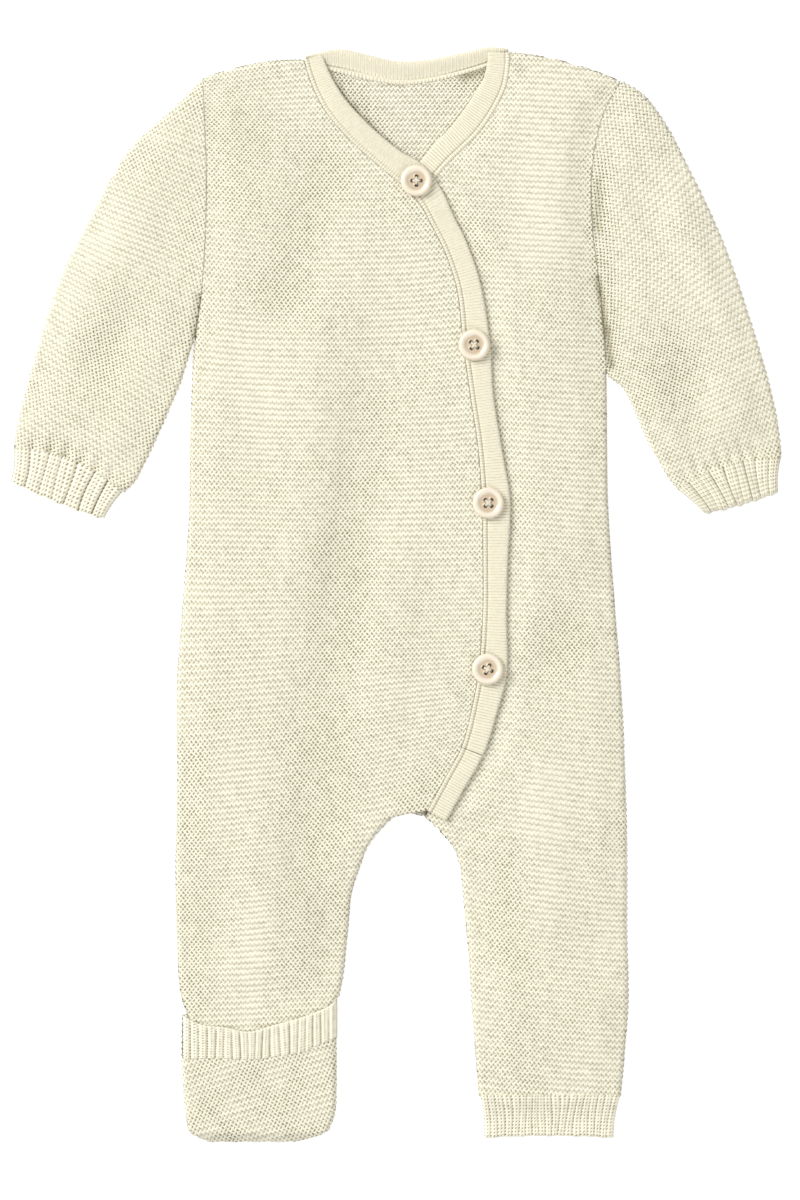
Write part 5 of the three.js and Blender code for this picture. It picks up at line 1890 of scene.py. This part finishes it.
def build_fronts(garter: list) -> None:
    """Makes the back, the fronts and the sleeves."""
    Back("back", (0.262, 0.612), 11).build(garter)
    RightFront("right_front", (0.190, 0.590), 12, wales=(-54, 28), ridges=(-92, 96)).build(garter)
    LeftFront("left_front", (0.130, 0.592), 13, wales=(-2, 56), ridges=(-92, 98)).build(garter)
    Sleeve("right_sleeve", (0.300, 0.240), 14, "right", RIGHT_SLEEVE, bow=5.6, start=(-112.0, 218.0),
           turns=(108.0, 119.0, 124.0), ribs=7).build(garter)
    Sleeve("left_sleeve", (0.320, 0.230), 15, "left", LEFT_SLEEVE, bow=4.6, start=(123.0, 207.0),
           turns=(46.0, 62.0, 75.0), ribs=9).build(garter)


def build_cuffs(rib: list) -> None:
    """Makes the cuffs of the sleeves and legs."""
    Cuff("right_sleeve_cuff", (0.125, 0.018), seam=(-215.8, 82.2, -155.2, 57.6, 5.6),
         free=(-217.6, 64.4, -165, 43.2, -1.6), ribs=7, rise=RIB_RISE, base=np.zeros_like).build(rib)
    Cuff("left_sleeve_cuff", (0.110, 0.018), seam=(216.9, 76.7, 159.2, 59.1, -4.6),
         free=(215.4, 58.0, 173.4, 46.0, -1.2), ribs=9, rise=RIB_RISE, base=np.zeros_like).build(rib)
    Cuff("left_leg_cuff", (0.155, 0.0235), seam=(47.4, -282.85, 126.2, -282.85, 0),
         free=(49.6, -306.6, 122.4, -306.6, 1.2), ribs=19, rise=FINE_RISE,
         base=lambda t: FOOT_LIFT["left"] * (1 - smooth(t / 0.7)), swell=0.9).build(rib)
    Cuff("right_leg_cuff", (0.147, 0.017), seam=(-115.4, -283.1, -39.0, -283.1, 0),
         free=(-112.0, -300.0, -43.0, -300.0, 0.6), ribs=19, rise=FINE_RISE,
         base=lambda t: np.full_like(t, LAYER)).build(rib)


def build_bands(band: list) -> None:
    """Makes the four bands."""
    def long_seat(y: np.ndarray) -> np.ndarray:
        """Height of what the long band lies on."""
        return LAYER + band_rise(y)

    Band("placket_band", Slot.BAND, (0.0145, 0.415), PLACKET, (NECK_TOP["right"], STEP_Y), side=1,
         seat=long_seat).build(band)
    Band("placket_end", Slot.BAND, (0.0128, 0.0405), PLACKET, (STEP_Y - SEAM, RIGHT_CROTCH_ROW), side=1,
         seat=long_seat, trim=SEAM).build(band)
    Band("left_neckband", Slot.BAND, (0.0138, 0.091), LEFT_NECK, (NECK_TOP["left"], STAND_START),
         side=-1, seat=lambda y: np.full_like(y, LAYER)).build(band)
    BackNeckband("back_neckband", Slot.BAND, (0.118, 0.0125)).build(band)


def build_foot_covers(garter: list, rib: list) -> None:
    """Makes the foot covers with their rib edges.

    Args:
        garter: knitted and plain material.
        rib: rib material.
    """
    RightFootCover("right_foot_cover", (0.175, 0.075), 16).build(garter)
    CoverRib("right_foot_cover_rib", Slot.RIB, (0.088, 0.019), ends=(-120.6, -33.4),
             upper_edge=lambda x: read(COVER_TOP, 1, x), lower_edge=lambda x: read(COVER_SEAM, 1, x),
             base=3 * LAYER, roll=4.2).build(rib)
    LeftFootCover("left_foot_cover", (0.078, 0.025), 17).build(garter)
    ends = (float(inseam_at("left", TUCKED["top"]) + TUCKED["margin"]),
            float(side_at("left", TUCKED["top"]) - TUCKED["margin"]))
    CoverRib("left_foot_cover_rib", Slot.RIB, (0.081, 0.024), ends=ends,
             upper_edge=lambda x: np.full_like(x, TUCKED["top"]),
             lower_edge=lambda x: np.full_like(x, TUCKED["seam"]),
             base=0.0, wall=TUCKED["thick"], underside=True).build(rib)


def main() -> None:
    """Builds the romper and its studio."""
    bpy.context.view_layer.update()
    garter = [GARTER.make(), GARTER_PLAIN.make()]
    rib = [RIBBED.make()]
    band = [BANDED.make()]
    nut = [NUT.make(), THREAD.make(), HOLE_SHADE.make()]
    build_fronts(garter)
    build_cuffs(rib)
    build_bands(band)
    build_foot_covers(garter, rib)
    for number, (x, y, turn) in enumerate(BUTTONS, 1):
        Button(f"button_{number}", x, y, turn).build(nut)
    Studio().build()


if __name__ == "__main__":
    main()
